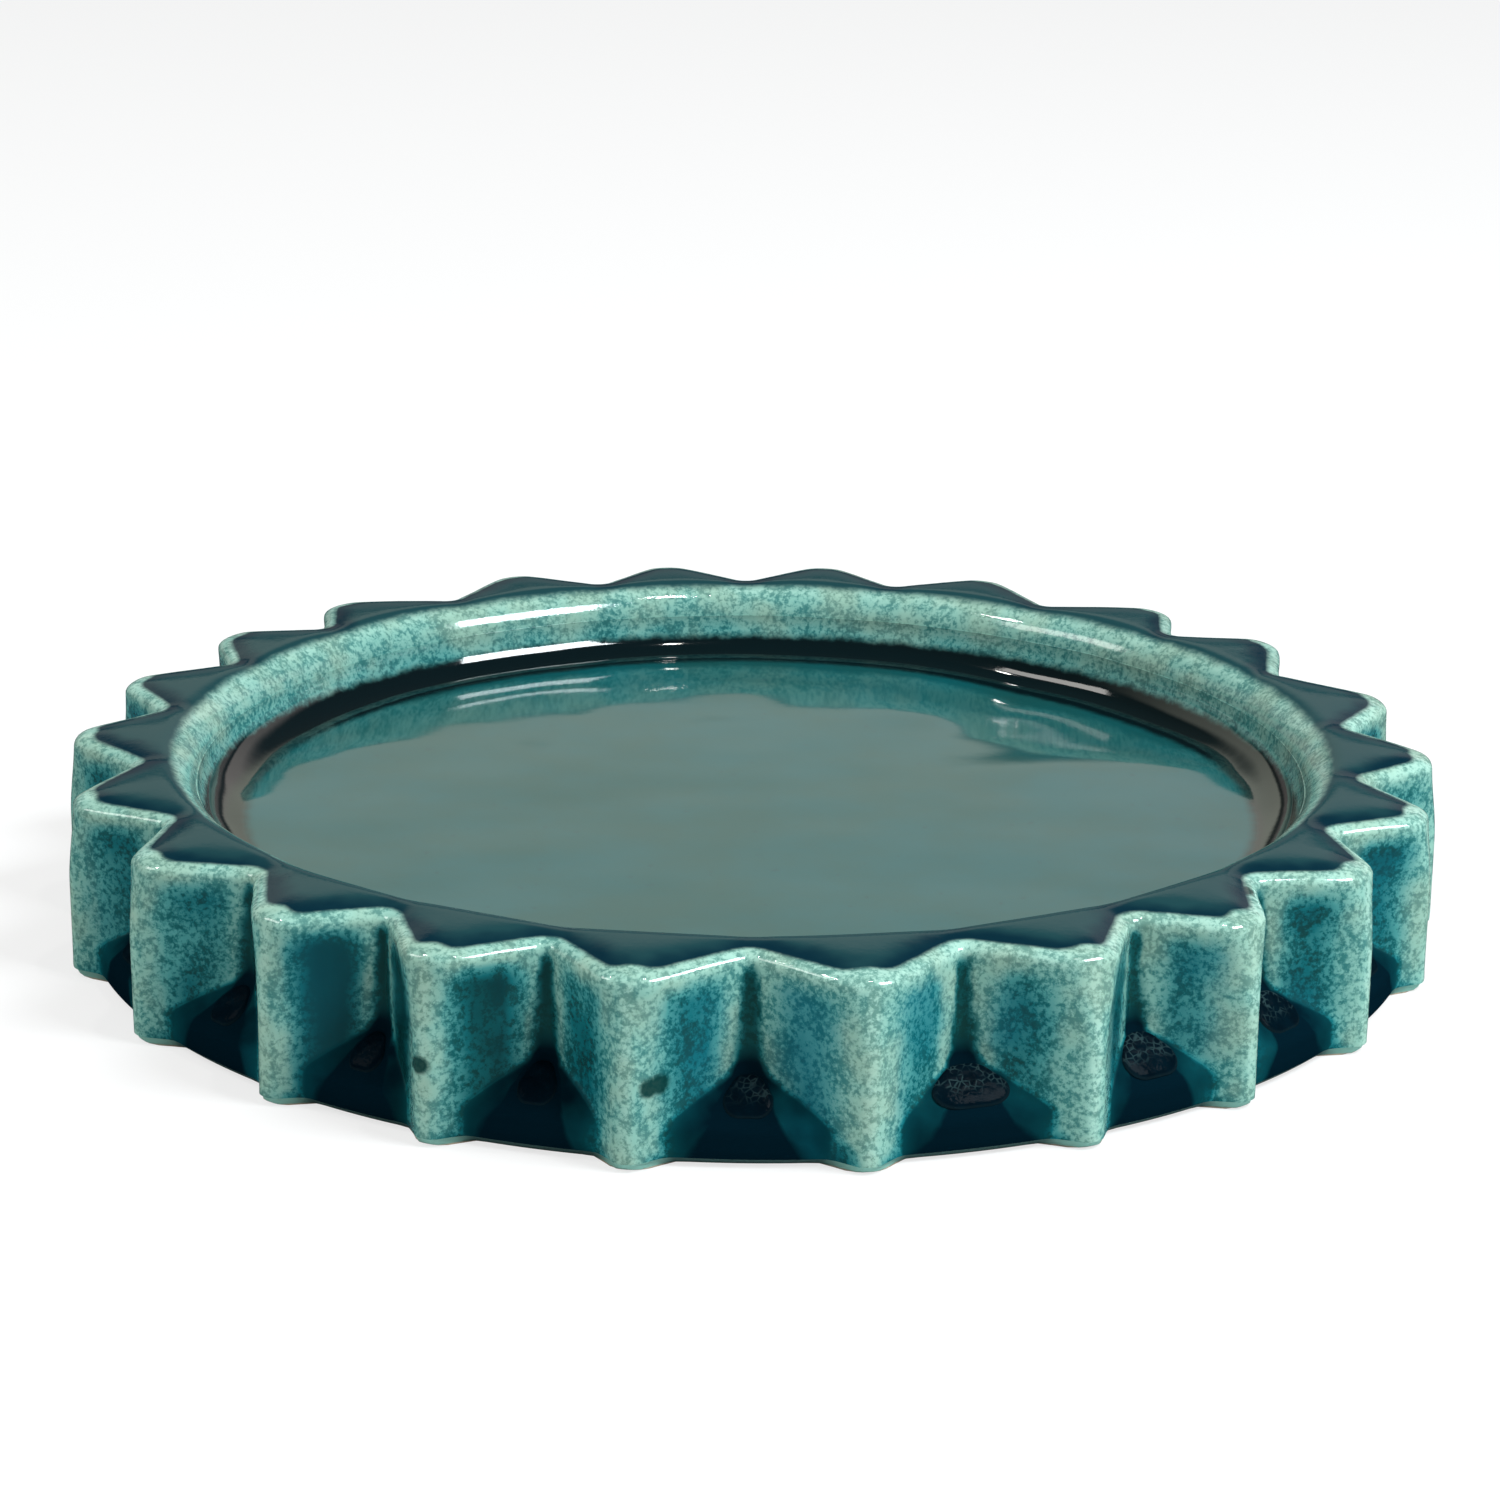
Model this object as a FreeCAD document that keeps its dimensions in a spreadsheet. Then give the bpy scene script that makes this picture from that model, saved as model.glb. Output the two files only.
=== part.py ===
import FreeCAD, Part
import math
import os
import Sketcher

# Round glazed plant saucer with a ring of V-shaped teeth. Millimetres, +Z up. The origin is at the
# middle of the foot, on the ground. The front is towards -Y.
#
# The glazed surface holds the driving sizes. The clay is the same form, set back by the thickness
# of the glaze, and the glaze is what lies between the two forms.

SIZES = (
    # ring of teeth, seen from above
    ("teeth", 22, "number of teeth round the rim"),
    ("first_tooth_angle", 8.25, "degrees from the front to the first tooth, towards +X"),
    ("tip_radius", 101, "axis to the crest of a tooth"),
    ("tooth_depth", 10.5, "crest to the bottom of a valley between teeth"),
    ("crest_rounding", 2.2, "rounding of each crest, seen from above"),
    ("valley_rounding", 1.6, "rounding of each valley, seen from above"),
    # heights and edges
    ("body_height", 27, "ground to the top of the rim"),
    ("top_rounding", 2, "rounding along the top edge of the teeth"),
    ("tooth_toe_rounding", 3.5, "rounding of a tooth where it meets the ground"),
    ("toe_overlap", 0.15, "how far outside the crest the toe's rounding starts"),
    # base flange that fills the foot of each valley
    ("flange_setback", 2.2, "crest of a tooth to the outside of the flange, measured inwards"),
    ("flange_side_height", 4.54, "height of the flange's side, up to the start of its shoulder"),
    ("flange_toe_rounding", 1.5, "rounding of the flange at the ground"),
    ("shoulder_height", 11.5, "height at which the flange meets the valley"),
    ("shoulder_rounding", 5.5, "rounding from the shoulder to the flange's side"),
    ("shoulder_root", 3, "how far the flange reaches into the ring of teeth"),
    # well that holds the pot
    ("rim_width", 9, "bottom of a valley to the top of the well's wall, before its edge is rounded"),
    ("well_depth", 10.4, "rim to the floor of the well"),
    ("well_lean", 5, "degrees that the well's wall leans outwards"),
    ("well_corner_rounding", 6, "rounding of the glaze between the wall and the floor"),
    ("clay_corner_rounding", 4, "rounding of the clay under it"),
    ("rim_edge_rounding", 4.5, "rounding of the rim's inner edge"),
    # underside
    ("foot_ring_width", 23, "crest of a tooth to the inside of the foot ring"),
    ("foot_edge_rounding", 1, "rounding of the foot ring's inner edge"),
    ("recess_depth", 8.5, "ground to the underside of the floor"),
    ("recess_lean", 30, "degrees that the recess's wall leans inwards"),
    ("recess_corner_rounding", 4, "rounding between that wall and the floor's underside"),
    # glaze
    ("glaze_thickness", 0.5, "thickness of the glaze skin"),
    ("glaze_line_height", 1.2, "height of the bare clay under the skin's lower edge"),
    # pools of thick glaze on the shoulder
    ("pool_length", 7, "length of a pool down the shoulder"),
    ("pool_width", 10, "width of a pool at its lower edge"),
    ("pool_apex_width", 3.4, "width of a pool at its upper end"),
    ("pool_apex_rounding", 1.4, "rounding of its upper corners"),
    ("pool_base_rounding", 2.4, "rounding of its lower corners"),
    ("pool_apex_gap", 0.9, "valley to the pool's upper end, measured outwards"),
    ("pool_proud", 0.4, "how far a pool stands above the skin"),
    ("pool_edge_rounding", 0.3, "rounding of a pool's rim"),
    ("pool_bury", 1.2, "how far a pool's blank reaches below the skin's surface"),
    # making
    ("overrun", 2, "how far a cutter runs past what it cuts"),
)

# Sizes that follow from those above, as formulas on the sheet
DERIVED_SIZES = (
    ("valley_radius", "=tip_radius - tooth_depth", "axis to the bottom of a valley"),
    ("flange_radius", "=tip_radius - flange_setback", "axis to the outside of the flange"),
    ("well_radius", "=valley_radius - rim_width", "axis to the wall's line at the rim's height"),
    ("foot_inner_radius", "=tip_radius - foot_ring_width", "axis to the inside of the foot ring"),
    (
        "shoulder_slope",
        "=atan((shoulder_height - flange_side_height) / (flange_radius - valley_radius)) / 1 deg",
        "degrees that the flange's shoulder falls outwards",
    ),
)

# A hand-made ring is uneven: each tooth is turned by this share of the pitch, from the first
# tooth towards +X and on round the back.
TOOTH_TURN_SHARES = (
    0.02, 0.09, -0.01, -0.06, -0.10, -0.17, -0.13, 0.05, -0.07, 0.05, 0.04,
    0.00, -0.05, 0.09, -0.04, -0.04, -0.05, 0.05, 0.06, 0.09, -0.01, -0.06,
)
FRONT_HEADING = -90  # degrees from +X to the front
FULL_TURN = 360  # degrees
SAME_PLACE = 1e-4  # two heights closer than this are one
NO_INSET = "0"
GLAZE_INSET = "Sizes.glaze_thickness"

os.makedirs("parts", exist_ok=True)
doc = FreeCAD.newDocument("plant_saucer")


def make_sheet():
    """The spreadsheet with every driving and derived size, one row each."""
    table = doc.addObject("Spreadsheet::Sheet", "Sizes")
    for row, (alias, value, note) in enumerate(SIZES + DERIVED_SIZES, start=1):
        table.set(f"A{row}", alias)
        table.set(f"B{row}", str(value))
        table.set(f"C{row}", note)
        table.setAlias(f"B{row}", alias)
    doc.recompute()
    return table


sheet = make_sheet()


def size(expression):
    """The number that an expression on the sheet stands for."""
    return float(sheet.evalExpression(expression))


def new_body(label):
    body = doc.addObject("PartDesign::Body", label)
    body.Label = label
    return body


def new_sketch(body, name, role):
    """An empty sketch on one of the body's own origin planes."""
    sketch = body.newObject("Sketcher::SketchObject", name)
    plane = next(item for item in body.Origin.OriginFeatures if item.Role == role)
    sketch.AttachmentSupport = (plane, "")
    sketch.MapMode = "FlatFace"
    return sketch


def rule(kind, *references):
    """A geometric constraint without a size, ready for add_rules."""
    return Sketcher.Constraint(kind, *references), None, None


def dimension(kind, references, expression, name):
    """A constraint whose size is an expression on the sheet, ready for add_rules."""
    return Sketcher.Constraint(kind, *references, size(expression)), name, expression


def place_rules(geometry, position, place, name):
    """Rules that fix a point of a sketch at a place given by two expressions."""
    rules = []
    for kind, axis, expression in zip(("DistanceX", "DistanceY"), (-2, -1), place):
        if expression == "0":
            rules.append(rule("PointOnObject", geometry, position, axis))
        else:
            references = (-1, 1, geometry, position)
            rules.append(dimension(kind, references, expression, f"{name}_{kind[-1].lower()}"))
    return rules


def add_rules(sketch, rules):
    """Add the constraints in one go and bind those that have a size."""
    sketch.addConstraint([constraint for constraint, _, _ in rules])
    for index, (_, name, expression) in enumerate(rules):
        if name:
            sketch.renameConstraint(index, name)
            sketch.setExpression(f"Constraints.{name}", expression)


def outline_pieces(corners):
    """Lines and arcs of a closed outline through corners (x, y, rounding), as numbers."""
    points = [FreeCAD.Vector(size(x), size(y), 0) for x, y, _ in corners]
    radii = [size(rounding) if rounding else 0 for _, _, rounding in corners]
    count = len(corners)
    entries, exits, middles, lefts = [], [], [], []
    for index, point in enumerate(points):
        arriving = (point - points[index - 1]).normalize()
        leaving = (points[(index + 1) % count] - point).normalize()
        turn = arriving.getAngle(leaving)
        back = radii[index] * math.tan(turn / 2)
        inward = (leaving - arriving).normalize()
        middle = point + inward * radii[index] * (1 / math.cos(turn / 2) - 1)
        entries.append(point - arriving * back)
        exits.append(point + leaving * back)
        middles.append(middle)
        lefts.append(arriving.cross(leaving).z > 0)
    return points, radii, entries, exits, middles, lefts


def draw_outline(sketch, corners):
    """Draw a closed outline through corners (x, y, rounding) and bind it to the sheet."""
    points, radii, entries, exits, middles, lefts = outline_pieces(corners)
    count = len(corners)
    rules = []
    for index in range(count):
        segment = Part.LineSegment(exits[index], entries[(index + 1) % count])
        sketch.addGeometry(segment, False)
    for index, (x, y, rounding) in enumerate(corners):
        before, after = (index - 1) % count, index
        if not rounding:
            rules.append(rule("Coincident", before, 2, after, 1))
            rules += place_rules(after, 1, (x, y), f"corner_{index}")
            continue
        bend = Part.Arc(entries[index], middles[index], exits[index])
        arc = sketch.addGeometry(bend, False)
        corner = sketch.addGeometry(Part.Point(points[index]), True)
        start, end = (1, 2) if lefts[index] else (2, 1)
        rules.append(rule("Tangent", before, 2, arc, start))
        rules.append(rule("Tangent", arc, end, after, 1))
        rules.append(dimension("Radius", (arc,), rounding, f"rounding_{index}"))
        rules.append(rule("PointOnObject", corner, 1, before))
        rules.append(rule("PointOnObject", corner, 1, after))
        rules += place_rules(corner, 1, (x, y), f"corner_{index}")
    add_rules(sketch, rules)


def add_turned(body, kind, name, corners):
    """Turn an outline in the XZ plane about Z: a Revolution adds, a Groove cuts."""
    sketch = new_sketch(body, f"{name}_outline", "XZ_Plane")
    draw_outline(sketch, corners)
    before = body.Tip.Shape.Volume if body.Tip else 0
    feature = body.newObject(f"PartDesign::{kind}", name)
    feature.Profile = sketch
    feature.ReferenceAxis = (sketch, ["V_Axis"])
    feature.Angle = FULL_TURN
    doc.recompute()
    gained = feature.Shape.Volume - before
    if (kind == "Groove" and gained >= 0) or (kind == "Revolution" and gained <= 0):
        raise RuntimeError(f"{body.Label}: {name} changed the volume by {gained}")


def tooth_heading(number):
    """Degrees from +X to the crest of a tooth."""
    share = TOOTH_TURN_SHARES[number % len(TOOTH_TURN_SHARES)]
    pitch = FULL_TURN / size("Sizes.teeth")
    return FRONT_HEADING + size("Sizes.first_tooth_angle") + (number + share) * pitch


def valley_heading(number):
    """Degrees from +X to the valley that follows a tooth."""
    return (tooth_heading(number) + tooth_heading(number + 1)) / 2


def heading_vector(degrees):
    angle = math.radians(degrees)
    return FreeCAD.Vector(math.cos(angle), math.sin(angle), 0)


def flank_ends(centres, radii, index):
    """Ends of the straight flank between one arc of the ring and the next."""
    other = (index + 1) % len(centres)
    along = centres[other] - centres[index]
    lean = (radii[index] + radii[other]) / along.Length
    along.normalize()
    side = FreeCAD.Vector(along.y, -along.x, 0) * (1 if index % 2 == 0 else -1)
    square = along * lean + side * math.sqrt(1 - lean * lean)
    return centres[index] + square * radii[index], centres[other] - square * radii[other]


def draw_tooth_ring(sketch, inset):
    """The zigzag outline: an arc on each crest and in each valley, and a flank between them.

    Even arcs are crests and odd ones valleys. Their centres lie on two circles, each at the end
    of a spoke from the axis.
    """
    distances = (
        "Sizes.tip_radius - Sizes.crest_rounding",
        "Sizes.valley_radius + Sizes.valley_rounding",
    )
    roundings = (f"Sizes.crest_rounding - {inset}", f"Sizes.valley_rounding + {inset}")
    headings = []
    for number in range(int(size("Sizes.teeth"))):
        headings += [tooth_heading(number), valley_heading(number)]
    count = len(headings)
    outward = [heading_vector(heading) for heading in headings]
    centres = [outward[index] * size(distances[index % 2]) for index in range(count)]
    radii = [size(roundings[index % 2]) for index in range(count)]
    flanks = [flank_ends(centres, radii, index) for index in range(count)]
    shapes = []
    for index in range(count):
        towards = outward[index] * radii[index] * (1 if index % 2 == 0 else -1)
        shapes.append(Part.Arc(flanks[index - 1][1], centres[index] + towards, flanks[index][0]))
        shapes.append(Part.LineSegment(*flanks[index]))
    sketch.addGeometry(shapes, False)
    origin, upward = FreeCAD.Vector(), FreeCAD.Vector(0, 0, 1)
    guides = [Part.Circle(origin, upward, size(distance)) for distance in distances]
    guides += [Part.LineSegment(origin, centre) for centre in centres]
    sketch.addGeometry(guides, True)
    circles = (2 * count, 2 * count + 1)
    rules = []
    for side, name in enumerate(("crest", "valley")):
        rules.append(rule("Coincident", circles[side], 3, -1, 1))
        rules.append(dimension("Radius", (circles[side],), distances[side], f"{name}_circle"))
        rules.append(dimension("Radius", (2 * side,), roundings[side], f"{name}_arc"))
    for index in range(count):
        arc, flank, spoke = 2 * index, 2 * index + 1, circles[1] + 1 + index
        following = (2 * index + 2) % (2 * count)
        end = 2 if index % 2 == 0 else 1
        rules.append(rule("Tangent", arc, end, flank, 1))
        rules.append(rule("Tangent", flank, 2, following, end))
        rules.append(rule("Coincident", spoke, 1, -1, 1))
        rules.append(rule("Coincident", spoke, 2, arc, 3))
        rules.append(rule("PointOnObject", arc, 3, circles[index % 2]))
        rules.append(rule("Angle", spoke, math.radians(headings[index])))
        if index > 1:
            rules.append(rule("Equal", 2 * (index % 2), arc))
    add_rules(sketch, rules)


def add_tooth_ring(body, inset):
    """The ring of teeth as one prism from the ground to the rim."""
    sketch = new_sketch(body, "ring_outline", "XY_Plane")
    draw_tooth_ring(sketch, inset)
    ring = body.newObject("PartDesign::Pad", "tooth_ring")
    ring.Profile = sketch
    ring.setExpression("Length", f"Sizes.body_height - {inset}")
    doc.recompute()


def add_tooth_toes(body, inset):
    """Round each tooth where it meets the ground."""
    side = f"Sizes.tip_radius + Sizes.toe_overlap - {inset}"
    inner = f"{side} - Sizes.tooth_toe_rounding - Sizes.overrun"
    outer = "Sizes.tip_radius + Sizes.overrun"
    top = "Sizes.tooth_toe_rounding + Sizes.overrun"
    corners = (
        (outer, "-Sizes.overrun", None),
        (outer, top, None),
        (side, top, None),
        (side, "0", f"Sizes.tooth_toe_rounding - {inset}"),
        (inner, "0", None),
        (inner, "-Sizes.overrun", None),
    )
    add_turned(body, "Groove", "tooth_toes", corners)


def add_flange(body, inset):
    """The base flange: a ring whose sloped shoulder closes the foot of every valley."""
    root = "Sizes.valley_radius - Sizes.shoulder_root"
    side = f"Sizes.flange_radius - {inset}"
    level = f"Sizes.shoulder_height - {inset} / cos(Sizes.shoulder_slope)"
    knee = f"{level} - ({side} - Sizes.valley_radius) * tan(Sizes.shoulder_slope)"
    corners = (
        (root, "0", None),
        (side, "0", f"Sizes.flange_toe_rounding - {inset}"),
        (side, knee, f"Sizes.shoulder_rounding - {inset}"),
        (root, f"{level} + Sizes.shoulder_root * tan(Sizes.shoulder_slope)", None),
    )
    add_turned(body, "Revolution", "base_flange", corners)


def floor_level(inset):
    """Height of the well's floor."""
    return f"(Sizes.body_height - Sizes.well_depth - {inset})"


def wall_radius(inset, height):
    """Radius of the well's wall at a height, before its corner is rounded."""
    fall = f"(Sizes.body_height - {height}) * tan(Sizes.well_lean)"
    return f"(Sizes.well_radius + {inset} / cos(Sizes.well_lean) - {fall})"


def corner_glaze_top():
    """Height of the thick ring of glaze: just above the end of the well's rounded corner."""
    bend = "Sizes.well_corner_rounding * (1 - sin(Sizes.well_lean))"
    return f"({floor_level(NO_INSET)} + {bend} + Sizes.glaze_thickness)"


def floor_glaze_radius():
    """Radius of the even sheet on the floor: just short of the start of the rounded corner."""
    bend = "Sizes.well_corner_rounding * (1 - sin(Sizes.well_lean)) / cos(Sizes.well_lean)"
    return f"({wall_radius(NO_INSET, floor_level(NO_INSET))} - {bend} - Sizes.glaze_thickness)"


def add_well(body, inset, corner_rounding):
    """The well: a flat floor, a rounded corner and a wall that leans outwards."""
    floor = floor_level(inset)
    top = "(Sizes.body_height + Sizes.overrun)"
    corners = (
        ("0", floor, None),
        (wall_radius(inset, floor), floor, corner_rounding),
        (wall_radius(inset, top), top, None),
        ("0", top, None),
    )
    add_turned(body, "Groove", "well", corners)


def add_rounding(body, name, edges_wanted, radius):
    """Round those edges of the body that the test picks."""
    base = body.Tip
    edges = [f"Edge{number}" for number, edge in enumerate(base.Shape.Edges, 1) if edges_wanted(edge)]
    rounding = body.newObject("PartDesign::Fillet", name)
    rounding.Base = (base, edges)
    rounding.setExpression("Radius", radius)
    doc.recompute()


def distance_from_axis(edge):
    point = edge.Vertexes[0].Point
    return math.hypot(point.x, point.y)


def lies_at(edge, height):
    box = edge.BoundBox
    return abs(box.ZMin - height) < SAME_PLACE and abs(box.ZMax - height) < SAME_PLACE


def saucer_form(label, inset, corner_rounding):
    """The saucer's upper and outer surfaces, set back from the glazed surface by the inset."""
    body = new_body(label)
    add_tooth_ring(body, inset)
    add_tooth_toes(body, inset)
    add_flange(body, inset)
    add_well(body, inset, corner_rounding)
    rim = size(f"Sizes.body_height - {inset}")
    middle_of_rim = size("(Sizes.well_radius + Sizes.valley_radius) / 2")
    add_rounding(
        body,
        "top_edge",
        lambda edge: lies_at(edge, rim) and distance_from_axis(edge) > middle_of_rim,
        f"Sizes.top_rounding - {inset}",
    )
    add_rounding(
        body,
        "rim_edge",
        lambda edge: lies_at(edge, rim) and distance_from_axis(edge) < middle_of_rim,
        f"Sizes.rim_edge_rounding - {inset}",
    )
    return body


def make_clay_body():
    """The fired clay, with a recess under the floor that leaves a foot ring to stand on."""
    body = saucer_form("clay_body", GLAZE_INSET, "Sizes.clay_corner_rounding")
    mouth = "Sizes.foot_inner_radius + Sizes.overrun * tan(Sizes.recess_lean)"
    roof = "Sizes.foot_inner_radius - Sizes.recess_depth * tan(Sizes.recess_lean)"
    corners = (
        ("0", "-Sizes.overrun", None),
        (mouth, "-Sizes.overrun", None),
        (roof, "Sizes.recess_depth", "Sizes.recess_corner_rounding"),
        ("0", "Sizes.recess_depth", None),
    )
    add_turned(body, "Groove", "underside_recess", corners)
    inside = size("Sizes.foot_inner_radius + Sizes.foot_edge_rounding")
    add_rounding(
        body,
        "foot_edge",
        lambda edge: lies_at(edge, 0) and distance_from_axis(edge) < inside,
        "Sizes.foot_edge_rounding",
    )
    return body


def make_outer_form():
    """The glazed surface of teeth, flange, rim and upper wall, hollow where other pieces lie."""
    body = saucer_form("outer_form", NO_INSET, "Sizes.well_corner_rounding")
    core = "(Sizes.well_radius + Sizes.valley_radius) / 2"
    outer = "Sizes.tip_radius + Sizes.overrun"
    corners = (
        ("0", "-Sizes.overrun", None),
        (outer, "-Sizes.overrun", None),
        (outer, "Sizes.glaze_line_height", None),
        (core, "Sizes.glaze_line_height", None),
        (core, corner_glaze_top(), None),
        ("0", corner_glaze_top(), None),
    )
    add_turned(body, "Groove", "hollow", corners)
    return body


def make_well_floor_glaze():
    """The even sheet of glaze on the floor of the well."""
    body = new_body("well_floor_glaze")
    below, above = floor_level(GLAZE_INSET), floor_level(NO_INSET)
    corners = (
        ("0", below, None),
        (floor_glaze_radius(), below, None),
        (floor_glaze_radius(), above, None),
        ("0", above, None),
    )
    add_turned(body, "Revolution", "floor_sheet", corners)
    return body


def make_well_corner_glaze():
    """The thick ring of glaze between the clay's corner and the wider glazed one."""
    body = new_body("well_corner_glaze")
    below, above, top = floor_level(GLAZE_INSET), floor_level(NO_INSET), corner_glaze_top()
    corners = (
        (floor_glaze_radius(), below, None),
        (wall_radius(GLAZE_INSET, below), below, "Sizes.clay_corner_rounding"),
        (wall_radius(GLAZE_INSET, top), top, None),
        (wall_radius(NO_INSET, top), top, None),
        (wall_radius(NO_INSET, above), above, "Sizes.well_corner_rounding"),
        (floor_glaze_radius(), above, None),
    )
    add_turned(body, "Revolution", "corner_ring", corners)
    return body


def cut_away(label, base, tool):
    """The base less the tool, as its own object."""
    result = doc.addObject("Part::Cut", label)
    result.Label = label
    result.Base = base
    result.Tool = tool
    return result


def make_pool_blank():
    """One pool on the shoulder at heading zero: a rounded wedge, wide side down the slope."""
    body = new_body("pool_blank")
    sketch = new_sketch(body, "pool_outline", "XY_Plane")
    upper = "-Sizes.pool_length / 2"
    lower = "Sizes.pool_length / 2"
    corners = (
        (upper, "-Sizes.pool_apex_width / 2", "Sizes.pool_apex_rounding"),
        (lower, "-Sizes.pool_width / 2", "Sizes.pool_base_rounding"),
        (lower, "Sizes.pool_width / 2", "Sizes.pool_base_rounding"),
        (upper, "Sizes.pool_apex_width / 2", "Sizes.pool_apex_rounding"),
    )
    draw_outline(sketch, corners)
    wedge = body.newObject("PartDesign::Pad", "pool_wedge")
    wedge.Profile = sketch
    wedge.setExpression("Length", "Sizes.pool_bury + Sizes.pool_proud")
    doc.recompute()
    top = wedge.Length.Value
    add_rounding(body, "pool_rim", lambda edge: lies_at(edge, top), "Sizes.pool_edge_rounding")
    slope = "Sizes.shoulder_slope"
    outwards = f"(Sizes.pool_apex_gap + Sizes.pool_length / 2 * cos({slope}))"
    body.Placement = FreeCAD.Placement(
        FreeCAD.Vector(), FreeCAD.Rotation(FreeCAD.Vector(0, 1, 0), size(slope))
    )
    body.setExpression(
        "Placement.Base.x", f"Sizes.valley_radius + {outwards} - Sizes.pool_bury * sin({slope})"
    )
    body.setExpression(
        "Placement.Base.z",
        f"Sizes.shoulder_height - {outwards} * tan({slope}) - Sizes.pool_bury * cos({slope})",
    )
    body.setExpression("Placement.Rotation.Angle", slope)
    return body


def make_pool(blank):
    """One pool at heading zero: its blank down to the clay's shoulder."""
    shoulder = new_body("clay_shoulder")
    add_flange(shoulder, GLAZE_INSET)
    return cut_away("glaze_pool", blank, shoulder)


def repeat_in_valleys(label, original):
    """One object with a copy of the original in every valley."""
    copies = []
    for number in range(int(size("Sizes.teeth"))):
        copy = doc.addObject("App::Link", f"{label}_{number}")
        copy.LinkedObject = original
        copy.LinkTransform = True
        turn = FreeCAD.Rotation(FreeCAD.Vector(0, 0, 1), valley_heading(number))
        copy.Placement = FreeCAD.Placement(FreeCAD.Vector(), turn)
        copies.append(copy)
    group = doc.addObject("Part::Compound", label)
    group.Label = label
    group.Links = copies
    return group


def make_outer_glaze(clay, windows):
    """The skin between the glazed surface and the clay, with a window for each pool."""
    skin = cut_away("outer_skin", make_outer_form(), clay)
    return cut_away("outer_glaze", skin, windows)


def check_and_write(parts):
    """Stop on any failed object or bad solid, then write one file for each sub-part."""
    doc.recompute()
    for item in doc.Objects:
        if "Invalid" in item.State or "Error" in item.State:
            raise RuntimeError(f"{item.Label} is {item.State}")
    for part in parts:
        if part.Shape.isNull() or not part.Shape.isValid() or not part.Shape.Solids:
            raise RuntimeError(f"{part.Label} has no valid solid")
    for part in parts:
        part.Shape.exportStep(f"parts/{part.Label}.step")
        print(part.Label, len(part.Shape.Solids), round(part.Shape.Volume), "mm3")


clay_body = make_clay_body()
pool_blank = make_pool_blank()
check_and_write(
    (
        clay_body,
        make_outer_glaze(clay_body, repeat_in_valleys("pool_windows", pool_blank)),
        make_well_floor_glaze(),
        make_well_corner_glaze(),
        repeat_in_valleys("valley_glaze_pools", make_pool(pool_blank)),
    )
)
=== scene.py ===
"""Toothed, teal-glazed plant saucer: its looks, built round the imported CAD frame.

Metres, +Z up, the front towards -Y. The profile of a piece is drawn as a template, and Geometry
Nodes throw it round the axis and press the teeth into it. The pools have a tree of their own.
"""

import math

import bmesh
import bpy
from mathutils import Matrix, Vector


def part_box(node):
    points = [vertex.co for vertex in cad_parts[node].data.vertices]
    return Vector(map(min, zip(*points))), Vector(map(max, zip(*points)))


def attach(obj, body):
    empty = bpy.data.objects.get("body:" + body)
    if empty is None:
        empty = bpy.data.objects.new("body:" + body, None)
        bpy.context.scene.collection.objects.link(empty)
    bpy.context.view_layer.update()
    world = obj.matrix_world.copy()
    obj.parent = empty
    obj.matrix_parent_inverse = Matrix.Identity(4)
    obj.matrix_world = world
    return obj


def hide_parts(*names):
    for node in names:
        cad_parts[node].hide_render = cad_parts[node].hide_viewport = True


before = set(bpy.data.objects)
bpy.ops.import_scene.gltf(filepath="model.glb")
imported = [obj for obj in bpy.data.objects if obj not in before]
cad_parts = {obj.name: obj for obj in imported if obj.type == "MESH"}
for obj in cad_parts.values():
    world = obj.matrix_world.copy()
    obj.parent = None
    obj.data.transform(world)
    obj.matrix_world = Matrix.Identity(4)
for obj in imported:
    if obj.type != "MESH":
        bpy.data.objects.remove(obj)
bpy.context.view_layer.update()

MM = 0.001

# Ring of teeth, as in the CAD but for the roundings at the ground and the set-back flange
TEETH = 22
FIRST_TOOTH_HEADING = math.radians(-90 + 8.25)
TOOTH_TURN_SHARES = (
    0.02, 0.09, -0.01, -0.06, -0.10, -0.17, -0.13, 0.05, -0.07, 0.05, 0.04,
    0.00, -0.05, 0.09, -0.04, -0.04, -0.05, 0.05, 0.06, 0.09, -0.01, -0.06,
)
TIP_RADIUS = 101 * MM
TOOTH_DEPTH = 10.5 * MM
CREST_ROUNDING = 2.2 * MM
VALLEY_ROUNDING = 1.6 * MM
TOP_ROUNDING = 2 * MM
TOE_ROUNDING = 2 * MM
TOE_OVERLAP = 0.15 * MM
FLANGE_RADIUS = 97.7 * MM
FLANGE_TOE_ROUNDING = 2.2 * MM
SHOULDER_HEIGHT = 11.5 * MM
SHOULDER_SLOPE = math.radians(40)

# Well and underside, as in the CAD but for the softer edge of the rim
WALL_LINE_RADIUS = 81.5 * MM
WALL_LEAN = math.radians(5)
RIM_EDGE_ROUNDING = 6 * MM
CORNER_ROUNDING = 6 * MM
CLAY_CORNER_ROUNDING = 4 * MM
FOOT_INNER_RADIUS = 78 * MM
FOOT_EDGE_ROUNDING = 1 * MM
RECESS_DEPTH = 8.5 * MM
RECESS_LEAN = math.radians(30)
RECESS_CORNER_ROUNDING = 4 * MM

# Read from the frame
BODY_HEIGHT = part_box("outer_glaze")[1].z
GLAZE_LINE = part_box("outer_glaze")[0].z
FLOOR_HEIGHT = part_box("well_floor_glaze")[1].z
FLOOR_GLAZE_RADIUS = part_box("well_floor_glaze")[1].x
GLAZE_THICKNESS = FLOOR_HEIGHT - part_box("well_floor_glaze")[0].z
CORNER_GLAZE_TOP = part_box("well_corner_glaze")[1].z
TOP_START = BODY_HEIGHT - TOP_ROUNDING

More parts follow.
